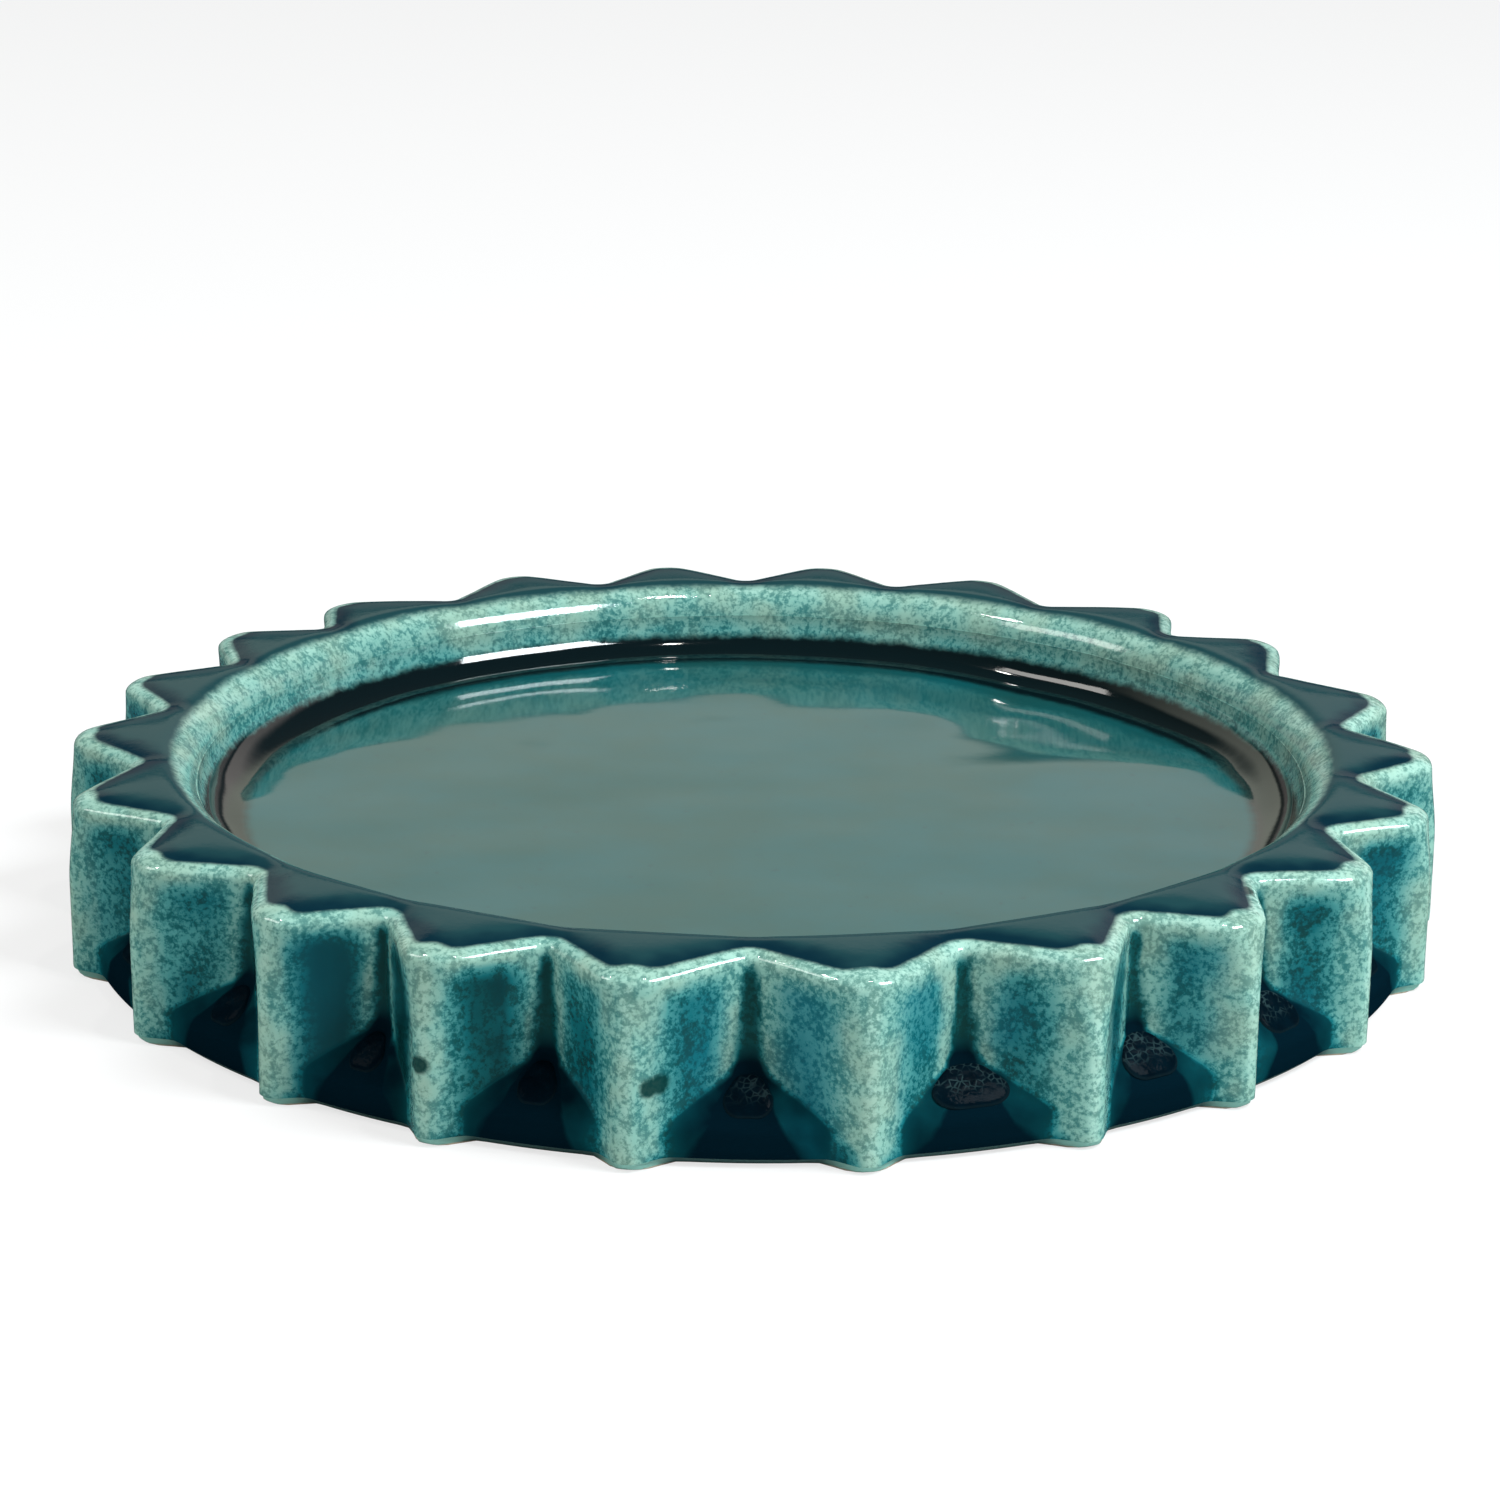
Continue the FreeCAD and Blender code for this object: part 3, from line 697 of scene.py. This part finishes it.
def make_pool_tree():
    """One domed pool, copied to every valley at the slope of the shoulder."""
    tree, size = new_geometry_tree("pools in the valleys", POOL_INPUTS)
    sockets = {
        "Height": size["Length"],
        "Bottom Width": size["Lower Width"],
        "Top Width": size["Upper Width"],
        "Offset": 0,
    }
    outline = tree.add("GeometryNodeCurvePrimitiveQuadrilateral", sockets, mode="TRAPEZOID")
    sockets = {
        "Curve": outline,
        "Radius": size["Corner Rounding"],
        "Count": POOL_FILLET_POINTS,
        "Limit Radius": True,
    }
    rounded = tree.add("GeometryNodeFilletCurve", sockets, mode="POLY")
    ring_steps = size["Rings"] + POOL_BACK_RINGS
    grid, x, y = unit_grid(tree, size["Points Round"], ring_steps)
    turn = x / size["Points Round"] + 0.5
    ring = (y + ring_steps / 2).maths("ROUND")
    sockets = {"Curves": rounded, "Factor": turn}
    around = tree.add("GeometryNodeSampleCurve", sockets, 1, use_all_curves=True)
    outward = ring / size["Rings"]
    back = (ring_steps - ring) / POOL_BACK_RINGS
    is_back = ring.greater_than(size["Rings"])
    reach = between(is_back, outward, back)
    dome = (1 - reach * reach * reach * reach).root()
    lift = between(is_back, size["Proud"] * dome, -1 * size["Bury"])
    spot = tree.vectors("ADD", tree.scaled(around, reach), tree.join(z=lift))
    upwards = tree.split(spot)[1] / size["Length"] + 0.5
    grid = store(tree, grid, "pool_reach", reach)
    grid = store(tree, grid, "pool_up", upwards)
    pool = merged(tree, moved(tree, grid, spot))

    valleys = tree.add("GeometryNodePoints", {"Count": size["Teeth"]})
    number = tree.add("GeometryNodeInputIndex")
    heading = (tooth_heading(tree, size, number) + tooth_heading(tree, size, number + 1)) / 2
    slope = size["Shoulder Slope"]
    outwards = size["Gap from Valley"] + size["Length"] / 2 * slope.cosine()
    radius = size["Valley Radius"] + outwards
    height = size["Shoulder Height"] - outwards * slope.maths("TANGENT")
    on_shoulder = tree.join(radius * heading.cosine(), radius * heading.sine(), height)
    placed = moved(tree, valleys, on_shoulder)
    facing = tree.join(x=slope, z=heading + math.pi / 2)
    breadth = tree.pick(number, POOL_BREADTHS)
    sockets = {2: POOL_SHORTEST, 3: 1.0, "ID": number, "Seed": size["Seed"]}
    tallness = tree.add("FunctionNodeRandomValue", sockets, 1)
    stretch = tree.join(breadth, tallness, 1)
    sockets = {"Points": placed, "Instance": pool, "Rotation": facing, "Scale": stretch}
    copies = tree.add("GeometryNodeInstanceOnPoints", sockets)
    real = tree.add("GeometryNodeRealizeInstances", {0: copies})
    sockets = {"Scale": CRACKLE_SCALE, "Detail": 2.0, "Roughness": 0.6}
    crackle = tree.add("ShaderNodeTexNoise", sockets)
    rough = tree.named("pool_up").rise(*CRACKLE_OPENS)
    inner = tree.named("pool_reach").fall(*CRACKLE_CLOSES)
    amount = (crackle - 0.5) * size["Crackle"] * 2 * rough * inner
    push = tree.scaled(tree.add("GeometryNodeInputNormal"), amount)
    crackled = tree.add("GeometryNodeSetPosition", {"Geometry": real, "Offset": push})
    return finish_geometry_tree(tree, crackled, size["Material"])


# Finishes

PALE_EDGE = (0.38, 0.61, 0.52)
MINT = (0.21, 0.44, 0.38)
SAGE = (0.30, 0.44, 0.34)
SOFT_TEAL = (0.062, 0.27, 0.265)
DEEP_TEAL = (0.006, 0.13, 0.15)
DARK_TEAL = (0.002, 0.042, 0.052)
DEEP_BLUE = (0.004, 0.13, 0.20)
CREASE_GREEN = (0.002, 0.032, 0.026)
SPOT_GREEN = (0.001, 0.030, 0.028)
FLECK_GREEN = (0.012, 0.070, 0.060)
NAVY = (0.0008, 0.008, 0.014)
RIM_TEAL = (0.010, 0.045, 0.052)
RIM_NAVY = (0.0015, 0.018, 0.03)
FLOOR_TEAL = (0.003, 0.077, 0.087)
FLOOR_DARK = (0.007, 0.063, 0.062)
# Thick drops of glaze: place on the saucer and reach, in millimetres
SPOTS = (
    ((-42.7, -91.5, 11.4), 2.1),
    ((-12.9, -98.2, 11.3), 2.3),
    ((-11.7, -97.7, 11.4), 2.3),
    ((65.6, -65.0, 27.0), 2.2),
)
SPOT_FLATNESS = 1.3
CORNER_BLACK = (0.0006, 0.006, 0.008)
POOL_BLACK = (0.0008, 0.002, 0.004)
POOL_CRACK = (0.05, 0.10, 0.105)
BUFF_CLAY = (0.56, 0.43, 0.31)
CLAY_SHADE = (0.40, 0.29, 0.20)
GROG_BROWN = (0.16, 0.10, 0.07)
GLAZE_STAIN = (0.03, 0.08, 0.075)

# Places in the finishes, in millimetres
# Where the well's rim edge turns paler: thinner glaze over the edge, and partly a painted highlight
# line
WELL_EDGE_THIN_AND_HIGHLIGHT_RADII = (82.2, 83.8)
WELL_MOUTH_RADII = (83.5, 85.4)
LOW_WALL = (2.5, 8)
FLOOR_SHORE = 1.6
FLOOR_CREEP = 0.6
BLACK_BAND_HEIGHT = 2.2
BLACK_BAND_FADE = 1.5
STAIN_RADII = (90, 91)

# Where the glaze of the teeth changes, each from a start to an end: shares of the way from a
# valley to a crest, or millimetres from the top edge, to the right, up, or off the flange
FLANK_OPENS = (0.10, 0.42)
FLANK_CLOSES = (0.50, 0.90)
FLANK_BELOW_TOP = (0.8, 5.0)
THICKER_OPENS = (-72, -56)
THICKER_CLOSES = (-40, -24)
LEFT_SIDE = (-30, 5)
CREST_LINE = (0.90, 0.985)
TOP_LINE = (0.6, 2.4)
CREASE_WIDENS = (9, 24)
CREASE_BELOW_TOP = (0.6, 3.5)
SPILL_TOP = 12.5
SPILL_FADE = (11.0, 15.5)
SHELF_FADE = (0.25, 0.75)
FOOT_BAND = (0.8, 3.0)
BRINK_OPENS = (-0.28, -0.04)
BRINK_CLOSES = (0.04, 0.30)
TIP_TONGUE = (0.72, 1.0)
RIM_LINE = (-1.9, -0.7)
DULL_RADII = (86, 90)

# Thickness of the glaze, as a place in its range of colours
GLAZE_ON_WALL = 0.24
GLAZE_ON_TEETH = 0.22
MORE_ON_FLANKS = 0.36
MORE_IN_CREASES = 0.50
LESS_ON_EDGES = 0.15

# How matt the dull glazes are, and how strongly glass bends light
RIM_DULLNESS = 0.65
POOL_DULLNESS = 0.985
GLAZE_REFRACTION = 1.58
FLOOR_REFRACTION = 1.50

# Scales of the noises, the larger the finer, and the stretch of those that run downwards
FLECK_SCALE = 1300
FLECK_CROWD_SCALE = 330
SPOT_EDGE_SCALE = 900
WARM_SCALE = 110
WELL_EDGE_SCALE = 420
CLOUD_SCALE = 38
SPECK_SCALE = 620
WALL_STREAK_SCALE = 190
WALL_STREAK_STRETCH = (1, 1, 0.3)
RIPPLE_SCALE = 260
POLISH_SCALE = 90
TOOTH_EDGE_SCALE = 300
PATCH_SCALE = 75
RUN_SCALE = 330
RUN_STRETCH = (1, 1, 0.22)
BLUE_SCALE = 40
CRAZE_SCALE = 1100
CRAZE_PATCH_SCALE = 500
POOL_CLOUD_SCALE = 400
WHEEL_RING_SCALE = 60
CLAY_GRAIN_SCALE = 900
CLAY_CLOUD_SCALE = 70
GROG_SCALE = 1500

# The colour of the glaze by its thickness, from a worn edge to a deep pool
GLAZE_STOPS = (
    (0.00, PALE_EDGE),
    (0.25, MINT),
    (0.48, SOFT_TEAL),
    (0.66, DEEP_TEAL),
    (0.82, DARK_TEAL),
    (1.00, NAVY),
)


def new_finish(name):
    """A material with nodes, its Tree and its shader node."""
    material = bpy.data.materials.new(name)
    material.use_nodes = True
    shader = material.node_tree.nodes["Principled BSDF"]
    return material, Tree(material.node_tree), shader


def object_place(tree):
    return tree.add("ShaderNodeTexCoord", output=3)


def attribute(tree, name):
    return tree.add("ShaderNodeAttribute", output=2, attribute_name=name)


def noise(tree, scale, detail=2.0, roughness=0.5, stretch=None):
    """Noise on object coordinates, stretched by a Mapping node if asked."""
    place = object_place(tree)
    if stretch:
        place = tree.add("ShaderNodeMapping", {0: place, 3: stretch})
    sockets = {"Vector": place, "Scale": scale, "Detail": detail, "Roughness": roughness}
    return tree.add("ShaderNodeTexNoise", sockets)


def place_parts(tree):
    """Radius from the axis and height, both in millimetres."""
    x, y, z = tree.split(object_place(tree))
    return (x * x + y * y).root() / MM, z / MM


def rightwards_of(tree):
    """Distance to the right of the axis, in millimetres."""
    return tree.split(object_place(tree))[0] / MM


def near(tree, place, reach):
    """1 round a place on the saucer, 0 past the reach, and flatter than wide; in millimetres."""
    flatter = tree.add("ShaderNodeMapping", {0: object_place(tree), 3: (1, 1, SPOT_FLATNESS)})
    x, y, z = place
    sockets = {0: flatter, 1: (x * MM, y * MM, z * SPOT_FLATNESS * MM)}
    away = tree.add("ShaderNodeVectorMath", sockets, 1, operation="DISTANCE")
    ragged = noise(tree, SPOT_EDGE_SCALE) - 0.5
    return (away / MM + ragged * 0.9).fall(reach * 0.5, reach)


def speckles(tree):
    """Dark flecks of the glaze, 0.3 to 0.6 mm across: 1 in a fleck."""
    fine = noise(tree, FLECK_SCALE, 3.0, 0.7)
    crowd = noise(tree, FLECK_CROWD_SCALE)
    return (fine + (crowd - 0.5) * 0.45).rise(0.40, 0.66)


def glaze_colour(tree, thickness, flecks):
    """Colour of the glaze by thickness; the flecks show where it is thin."""
    thin = thickness.fall(0.60, 0.92)
    sunk = thickness + flecks * thin * 0.20
    plain = tree.add("ShaderNodeValToRGB", {0: sunk}, stops=GLAZE_STOPS)
    warm = noise(tree, WARM_SCALE, 3.0).rise(0.40, 0.66) * thickness.fall(0.25, 0.5) * 0.55
    plain = tree.blend(warm, plain, SAGE)
    return tree.blend(flecks * thin * 0.45, plain, FLECK_GREEN)


def well_colour(tree, flecks):
    """Wall, black corner and teal floor of the well, by radius and height."""
    radius, height = place_parts(tree)
    ragged = noise(tree, WELL_EDGE_SCALE) - 0.5
    floor_mm = FLOOR_HEIGHT / MM
    cloud = noise(tree, CLOUD_SCALE, 4.0, 0.65).rise(0.30, 0.74)
    floor = tree.blend(cloud, FLOOR_DARK, FLOOR_TEAL)
    specks = noise(tree, SPECK_SCALE, 1.0).rise(0.72, 0.78)
    floor = tree.blend(specks * 0.6, floor, DARK_TEAL)
    streaks = noise(tree, WALL_STREAK_SCALE, 3.0, 0.55, WALL_STREAK_STRETCH) - 0.5
    low_wall = height.fall(floor_mm + LOW_WALL[0], floor_mm + LOW_WALL[1])
    thickness = GLAZE_ON_WALL + streaks * 0.24 + low_wall * 0.16
    # Paler towards the rim's edge: the glaze is thinner there, and the pale line is partly a painted
    # highlight
    edge = (radius + ragged * 0.5).rise(*WELL_EDGE_THIN_AND_HIGHLIGHT_RADII)
    thickness = thickness - edge * 0.12
    wall = glaze_colour(tree, thickness, flecks)
    corner_top = floor_mm + BLACK_BAND_HEIGHT
    to_dark = (height + ragged * 1.1).fall(corner_top, corner_top + BLACK_BAND_FADE)
    deep = tree.blend(to_dark, wall, CORNER_BLACK)
    floor_edge = FLOOR_GLAZE_RADIUS / MM
    on_floor = (radius + ragged * 1.2).fall(floor_edge - FLOOR_SHORE, floor_edge + FLOOR_CREEP)
    return tree.blend(on_floor, deep, floor)


def bumps(tree, strength, distance, height):
    """Normals that follow a height, in millimetres where it is 1."""
    sockets = {"Strength": strength, "Distance": distance * MM, "Height": height}
    return tree.add("ShaderNodeBump", sockets)


def gloss(tree, shader, flecks, bump_strength, refraction=GLAZE_REFRACTION):
    """Glass surface with pits at the flecks and a slight peel."""
    height = noise(tree, RIPPLE_SCALE) + flecks * 0.25
    normal = bumps(tree, bump_strength, 0.05, height)
    roughness = 0.035 + noise(tree, POLISH_SCALE) * 0.04
    tree.feed(shader, Normal=normal, Roughness=roughness, IOR=refraction, Specular_IOR_Level=0.5)


def dulled(tree, shader, colour, dullness):
    """Let a plain matt surface stand in for the gloss where the glaze is dull."""
    matt = tree.add("ShaderNodeBsdfDiffuse", {0: colour})
    glossy = Wire(tree, shader.outputs[0])
    mixed = tree.add("ShaderNodeMixShader", {0: dullness, 1: glossy, 2: matt})
    tree.feed(tree.tree.nodes["Material Output"], Surface=mixed)


def make_tooth_glaze():
    """Teeth, flange and rim: pale where thin, teal on the flanks, navy low in the valleys."""
    material, tree, shader = new_finish("teal_glaze_on_teeth")
    crest = attribute(tree, "crest")
    proud = attribute(tree, "flange_proud")
    from_edge = attribute(tree, "from_edge")
    radius, height = place_parts(tree)
    flecks = speckles(tree)
    ragged = noise(tree, TOOTH_EDGE_SCALE) - 0.5
    patches = noise(tree, PATCH_SCALE) - 0.5
    runs = noise(tree, RUN_SCALE, 3.0, 0.6, RUN_STRETCH) - 0.5

    across = crest + ragged * 0.1
    middle = across.rise(*FLANK_OPENS) * across.fall(*FLANK_CLOSES)
    flank = middle * from_edge.rise(*FLANK_BELOW_TOP)
    to_right = rightwards_of(tree)
    thicker = to_right.rise(*THICKER_OPENS) * to_right.fall(*THICKER_CLOSES)
    on_flank = MORE_ON_FLANKS + thicker * 0.18 + patches * 0.7
    thickness = GLAZE_ON_TEETH + flank * on_flank + runs * 0.18
    thickness = thickness + to_right.fall(*LEFT_SIDE) * 0.08
    crest_line = across.rise(*CREST_LINE)
    top_line = (from_edge + ragged * 0.5).fall(*TOP_LINE)
    thickness = thickness - crest_line.at_least(top_line) * LESS_ON_EDGES

    crease_width = 0.105 + height.fall(*CREASE_WIDENS) * 0.10
    crease = 1 - (across.at_least(0) / crease_width).rise(0.15, 1.15)
    crease = crease * from_edge.rise(*CREASE_BELOW_TOP)
    thickness = thickness + crease * MORE_IN_CREASES

    lower = (SPILL_TOP - height).at_least(0) / SPILL_TOP
    spill = 0.10 + lower * (0.58 + patches * 1.1)
    in_spill = (across / spill).fall(0.60, 1.40) * height.fall(*SPILL_FADE)
    on_flange = (proud + ragged * 0.8).rise(-1.0, 0.6)
    shelf = 0.60 + patches * 0.8 + ragged * 0.3 + crest.fall(*SHELF_FADE) * 0.32
    foot = (height + ragged * 1.5).fall(*FOOT_BAND) * crest.fall(0.55, 0.97)
    low = (on_flange * shelf).at_least(in_spill * 1.1).at_least(foot * 0.7)
    covered = low.at_most(1)
    thickness = between(covered, thickness, 1.0)
    brink = proud.rise(*BRINK_OPENS) * proud.fall(*BRINK_CLOSES) * crest.rise(0.25, 0.4)
    thickness = thickness - brink * 0.06
    spots = near(tree, *SPOTS[0])
    for spot in SPOTS[1:]:
        spots = spots.at_least(near(tree, *spot))
    colour = glaze_colour(tree, thickness, flecks)
    above = 1 - covered
    blue = flank * noise(tree, BLUE_SCALE).rise(0.45, 0.7) * 0.4 * above
    colour = tree.blend(blue, colour, DEEP_BLUE)
    green = crease.at_least(flank * thicker * 0.8) * above * 0.6
    colour = tree.blend(green, colour, CREASE_GREEN)
    colour = tree.blend(spots * 0.95, colour, SPOT_GREEN)
    on_rim = (from_edge + crest.rise(*TIP_TONGUE) * 1.6 + ragged * 0.5).fall(*RIM_LINE)
    rim_tone = (from_edge * -0.16 + patches * 1.4 + ragged * 0.4).rise(0.25, 1.1)
    rim = tree.blend(rim_tone, RIM_NAVY, RIM_TEAL)
    colour = tree.blend(on_rim, colour, rim)
    in_well = (radius + ragged * 0.8).fall(*WELL_MOUTH_RADII)
    colour = tree.blend(in_well, colour, well_colour(tree, flecks))
    tree.feed(shader, Base_Color=colour)
    gloss(tree, shader, flecks, 0.35)
    dullness = in_spill.at_least(on_flange).at_most(1) * radius.rise(*DULL_RADII)
    dullness = dullness.at_least(on_rim * (1 - in_well) * RIM_DULLNESS)
    dulled(tree, shader, colour, dullness)
    return material


def make_well_glaze(name, bump_strength, refraction):
    """Glaze of the well's corner or floor; both share the well's colours."""
    material, tree, shader = new_finish(name)
    flecks = speckles(tree)
    tree.feed(shader, Base_Color=well_colour(tree, flecks))
    gloss(tree, shader, flecks * 0.3, bump_strength, refraction)
    return material


def make_pool_glaze():
    """Blue-black pools, crackled in their upper half, those at the right with pale lines."""
    material, tree, shader = new_finish("black_pool_glaze")
    upper = attribute(tree, "pool_up")
    sockets = {"Vector": object_place(tree), "Scale": CRAZE_SCALE}
    crackle = tree.add("ShaderNodeTexVoronoi", sockets, feature="DISTANCE_TO_EDGE")
    reach = attribute(tree, "pool_reach")
    to_right = rightwards_of(tree)
    crazed = noise(tree, CRAZE_PATCH_SCALE, 1.0).rise(0.4, 0.6) * to_right.rise(-8, 6)
    line = crackle.fall(0.02, 0.14) * upper.rise(0.2, 0.6) * crazed
    lip = reach.rise(0.88, 0.97) * upper.fall(0.3, 0.7)
    pale = (line * 0.34).at_least(lip * 0.05)
    base = tree.blend(noise(tree, POOL_CLOUD_SCALE), POOL_BLACK, NAVY)
    colour = tree.blend(pale, base, POOL_CRACK)
    normal = bumps(tree, 0.5, 0.08, crackle)
    roughness = 0.12 + upper.rise(*CRACKLE_OPENS) * 0.2
    tree.feed(shader, Base_Color=colour, Normal=normal, Roughness=roughness)
    dulled(tree, shader, colour, POOL_DULLNESS)
    return material


def make_clay():
    """Bare, dry clay with the wheel's rings and grains of grog, stained where the glaze ends."""
    material, tree, shader = new_finish("bare_buff_clay")
    radius, height = place_parts(tree)
    rings = (radius * 4 + noise(tree, WHEEL_RING_SCALE) * 6).sine()
    grain = noise(tree, CLAY_GRAIN_SCALE, 3.0, 0.7)
    grog = noise(tree, GROG_SCALE, 1.0).rise(0.66, 0.72)
    colour = tree.blend(noise(tree, CLAY_CLOUD_SCALE, 4.0, 0.6), BUFF_CLAY, CLAY_SHADE)
    colour = tree.blend(grog * 0.6, colour, GROG_BROWN)
    stained = (height + (grain - 0.5) * 0.2).rise(0.05, 0.30) * radius.rise(*STAIN_RADII)
    toes = attribute(tree, "crest").rise(0.60, 0.85)
    stain = tree.blend(toes, GLAZE_STAIN, MINT)
    colour = tree.blend(stained, colour, stain)
    normal = bumps(tree, 0.4, 0.15, grain + rings * 0.3)
    tree.feed(shader, Base_Color=colour, Normal=normal, Roughness=0.75 + grain * 0.2)
    return material


# The saucer


def make_saucer():
    """Every piece, each standing for its CAD node."""
    thrown = make_thrown_tree()
    tooth_glaze = make_tooth_glaze()
    corner_glaze = make_well_glaze("black_corner_glaze", 0.25, GLAZE_REFRACTION)
    floor_glaze = make_well_glaze("teal_floor_glaze", 0.12, FLOOR_REFRACTION)
    clay = make_clay()
    pool_glaze = make_pool_glaze()
    rows = (
        ("toothed_glaze_skin", "outer_glaze", "teal_glaze", draw_outer_glaze, tooth_glaze,
         COLUMNS_PER_TOOTH, 1),
        ("corner_glaze_ring", "well_corner_glaze", "corner_glaze", draw_corner_glaze, corner_glaze,
         WELL_COLUMNS_PER_TOOTH, 1),
        ("floor_glaze_sheet", "well_floor_glaze", "floor_glaze", draw_floor_glaze, floor_glaze,
         WELL_COLUMNS_PER_TOOTH, 0),
        ("fired_clay", "clay_body", "fired_clay", draw_clay, clay, CLAY_COLUMNS_PER_TOOTH, 0),
    )
    for name, node, slot, draw, material, columns, closing in rows:
        source = draw().to_object(f"{name}_template")
        values = {"Columns per Tooth": columns, "Closing Row": closing, "Material": material}
        finish_piece(grown(name, source, thrown, values), node)
    source = Template().to_object("pool_template")
    pools = grown("glaze_pools", source, make_pool_tree(), {"Material": pool_glaze})
    finish_piece(pools, "valley_glaze_pools")


def finish_piece(piece, node):
    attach(piece, "root")
    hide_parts(node)


# Studio

CAMERA_PLACE = (-0.00357, -0.5921, 0.2132)
CAMERA_TILT = math.radians(18.02)
CAMERA_ROLL = math.radians(0.495)
CAMERA_LENS = 101.07
CAMERA_SHIFT = (0.0159, 0.0185)
CAMERA_SENSOR = 36
CAMERA_CLIP_START = 0.01
FLOOR_SPAN = 8
BACKDROP = (1, 1, 1)
PALE_FLOOR = (0.86, 0.86, 0.86)
PAPER_ROUGHNESS = 0.9
PAPER_SHINE = 0.1
PAPER_WHITENESS = 0.72
TABLE = (0.05, 0.07, 0.075)
MIRRORED_BACKDROP = 0.70
MIRRORED_ROOM = 0.06
MIRRORED_LOW = 0.22
MIRRORED_TINT = (0.94, 0.98, 0.82)
MIRRORED_WARM = (1, 0.90, 0.84)
SOFT_LIGHT = 0.42
# Where the mirrored room changes, as parts of a direction of length 1: back, up and right
BEHIND = (-0.2, 0.5)
BACKDROP_FOOT = (0.235, 0.275)
BACKDROP_TOP = (0.375, 0.52)
LOW_BAND_TOP = (0.17, 0.22)
WARM_BELOW = (0.17, 0.25)
WARM_AT_RIGHT = (0.0, 0.28)
COOL_WHITE = (0.90, 0.97, 1.0)
WARM_WHITE = (1.0, 0.98, 0.93)


def make_camera():
    up = (0, math.sin(CAMERA_TILT), math.cos(CAMERA_TILT))
    back = (0, -up[2], up[1])
    cosine, sine = math.cos(CAMERA_ROLL), math.sin(CAMERA_ROLL)
    across = (cosine, sine * up[1], sine * up[2])
    above = (-sine, cosine * up[1], cosine * up[2])
    data = bpy.data.cameras.new("camera")
    data.lens = CAMERA_LENS
    data.sensor_width = data.sensor_height = CAMERA_SENSOR
    data.shift_x, data.shift_y = CAMERA_SHIFT
    data.clip_start = CAMERA_CLIP_START
    camera = add_object("camera", data)
    camera.matrix_world = pose_matrix(across, above, back, CAMERA_PLACE)
    bpy.context.scene.camera = camera


def light_path(tree, name):
    return tree.add("ShaderNodeLightPath", output=name)


def make_floor():
    """A sheet of pale paper that keeps the shadow; the glaze mirrors a darker table."""
    mesh = bpy.data.meshes.new("studio_floor")
    half = FLOOR_SPAN / 2
    corners = [(-half, -half, 0), (half, -half, 0), (half, half, 0), (-half, half, 0)]
    mesh.from_pydata(corners, [], [(0, 1, 2, 3)])
    floor = add_object("studio_floor", mesh)
    material, tree, shader = new_finish("pale_paper")
    tree.feed(shader, Base_Color=PALE_FLOOR, Roughness=PAPER_ROUGHNESS)
    tree.feed(shader, Specular_IOR_Level=PAPER_SHINE)
    white = tree.add("ShaderNodeEmission", {0: BACKDROP})
    table = tree.add("ShaderNodeEmission", {0: TABLE})
    paper = Wire(tree, shader.outputs[0])
    lit = light_path(tree, "Is Camera Ray") * PAPER_WHITENESS
    seen = tree.add("ShaderNodeMixShader", {0: lit, 1: paper, 2: white})
    mirrored = light_path(tree, "Is Glossy Ray")
    mixed = tree.add("ShaderNodeMixShader", {0: mirrored, 1: seen, 2: table})
    tree.feed(tree.tree.nodes["Material Output"], Surface=mixed)
    mesh.materials.append(material)


def make_world():
    """White to the camera and soft light on the saucer.

    The glaze mirrors a pale backdrop behind the saucer, a warm, dim band below it, and a dimmer
    room above and in front.
    """
    world = bpy.data.worlds.new("studio")
    bpy.context.scene.world = world
    world.use_nodes = True
    tree = Tree(world.node_tree)
    background = world.node_tree.nodes["Background"]
    towards = tree.add("ShaderNodeTexCoord")
    rightwards, backwards, upwards = tree.split(towards)
    behind = backwards.rise(*BEHIND)
    band = upwards.rise(*BACKDROP_FOOT) * upwards.fall(*BACKDROP_TOP)
    room = between(behind * band, MIRRORED_ROOM, MIRRORED_BACKDROP)
    room = room + behind * upwards.fall(*LOW_BAND_TOP) * MIRRORED_LOW
    seen = light_path(tree, "Is Camera Ray").at_least(light_path(tree, "Is Transmission Ray"))
    mirrored = light_path(tree, "Is Glossy Ray")
    warmth = rightwards.rise(*WARM_AT_RIGHT).at_least(upwards.fall(*WARM_BELOW))
    mirrored_tint = tree.blend(warmth, MIRRORED_TINT, MIRRORED_WARM)
    tint = tree.blend(mirrored, BACKDROP, mirrored_tint)
    strength = SOFT_LIGHT + mirrored * (room - SOFT_LIGHT) + seen * (1 - SOFT_LIGHT)
    tree.feed(background, Color=tint, Strength=strength)


def make_lamp(name, kind, start, end, width, power, colour):
    """An area lamp from start to end that faces the saucer."""
    start, end = Vector(start), Vector(end)
    place = (start + end) / 2
    along = end - start
    back = place.normalized()
    if along.length:
        along = (along - back * along.dot(back)).normalized()
    else:
        along = back.orthogonal().normalized()
    side = back.cross(along)
    data = bpy.data.lights.new(name, "AREA")
    data.shape = kind
    data.size = max((end - start).length, width)
    data.size_y = width
    data.energy = power
    data.color = colour
    lamp = add_object(name, data)
    lamp.matrix_world = pose_matrix(along, side, back, place)


# Lamps: name, shape, ends of the middle line, width, power and colour
LAMPS = (
    ("window_right", "RECTANGLE", (0.49, -0.48, 1), (0.96, -0.16, 1), 0.40, 20, COOL_WHITE),
    ("window_left", "RECTANGLE", (-0.83, -0.27, 1), (-1.27, 0.18, 1), 0.36, 4.2, WARM_WHITE),
    ("small_lamp_right", "DISK", (0.171, -0.138, 1), (0.171, -0.138, 1), 0.045, 1.0, WARM_WHITE),
    ("small_lamp_left", "DISK", (-0.57, -0.01, 1), (-0.57, -0.01, 1), 0.045, 1.0, WARM_WHITE),
)


def make_studio():
    make_camera()
    make_world()
    make_floor()
    for lamp in LAMPS:
        make_lamp(*lamp)
    bpy.context.scene.view_settings.view_transform = "Standard"


make_saucer()
make_studio()
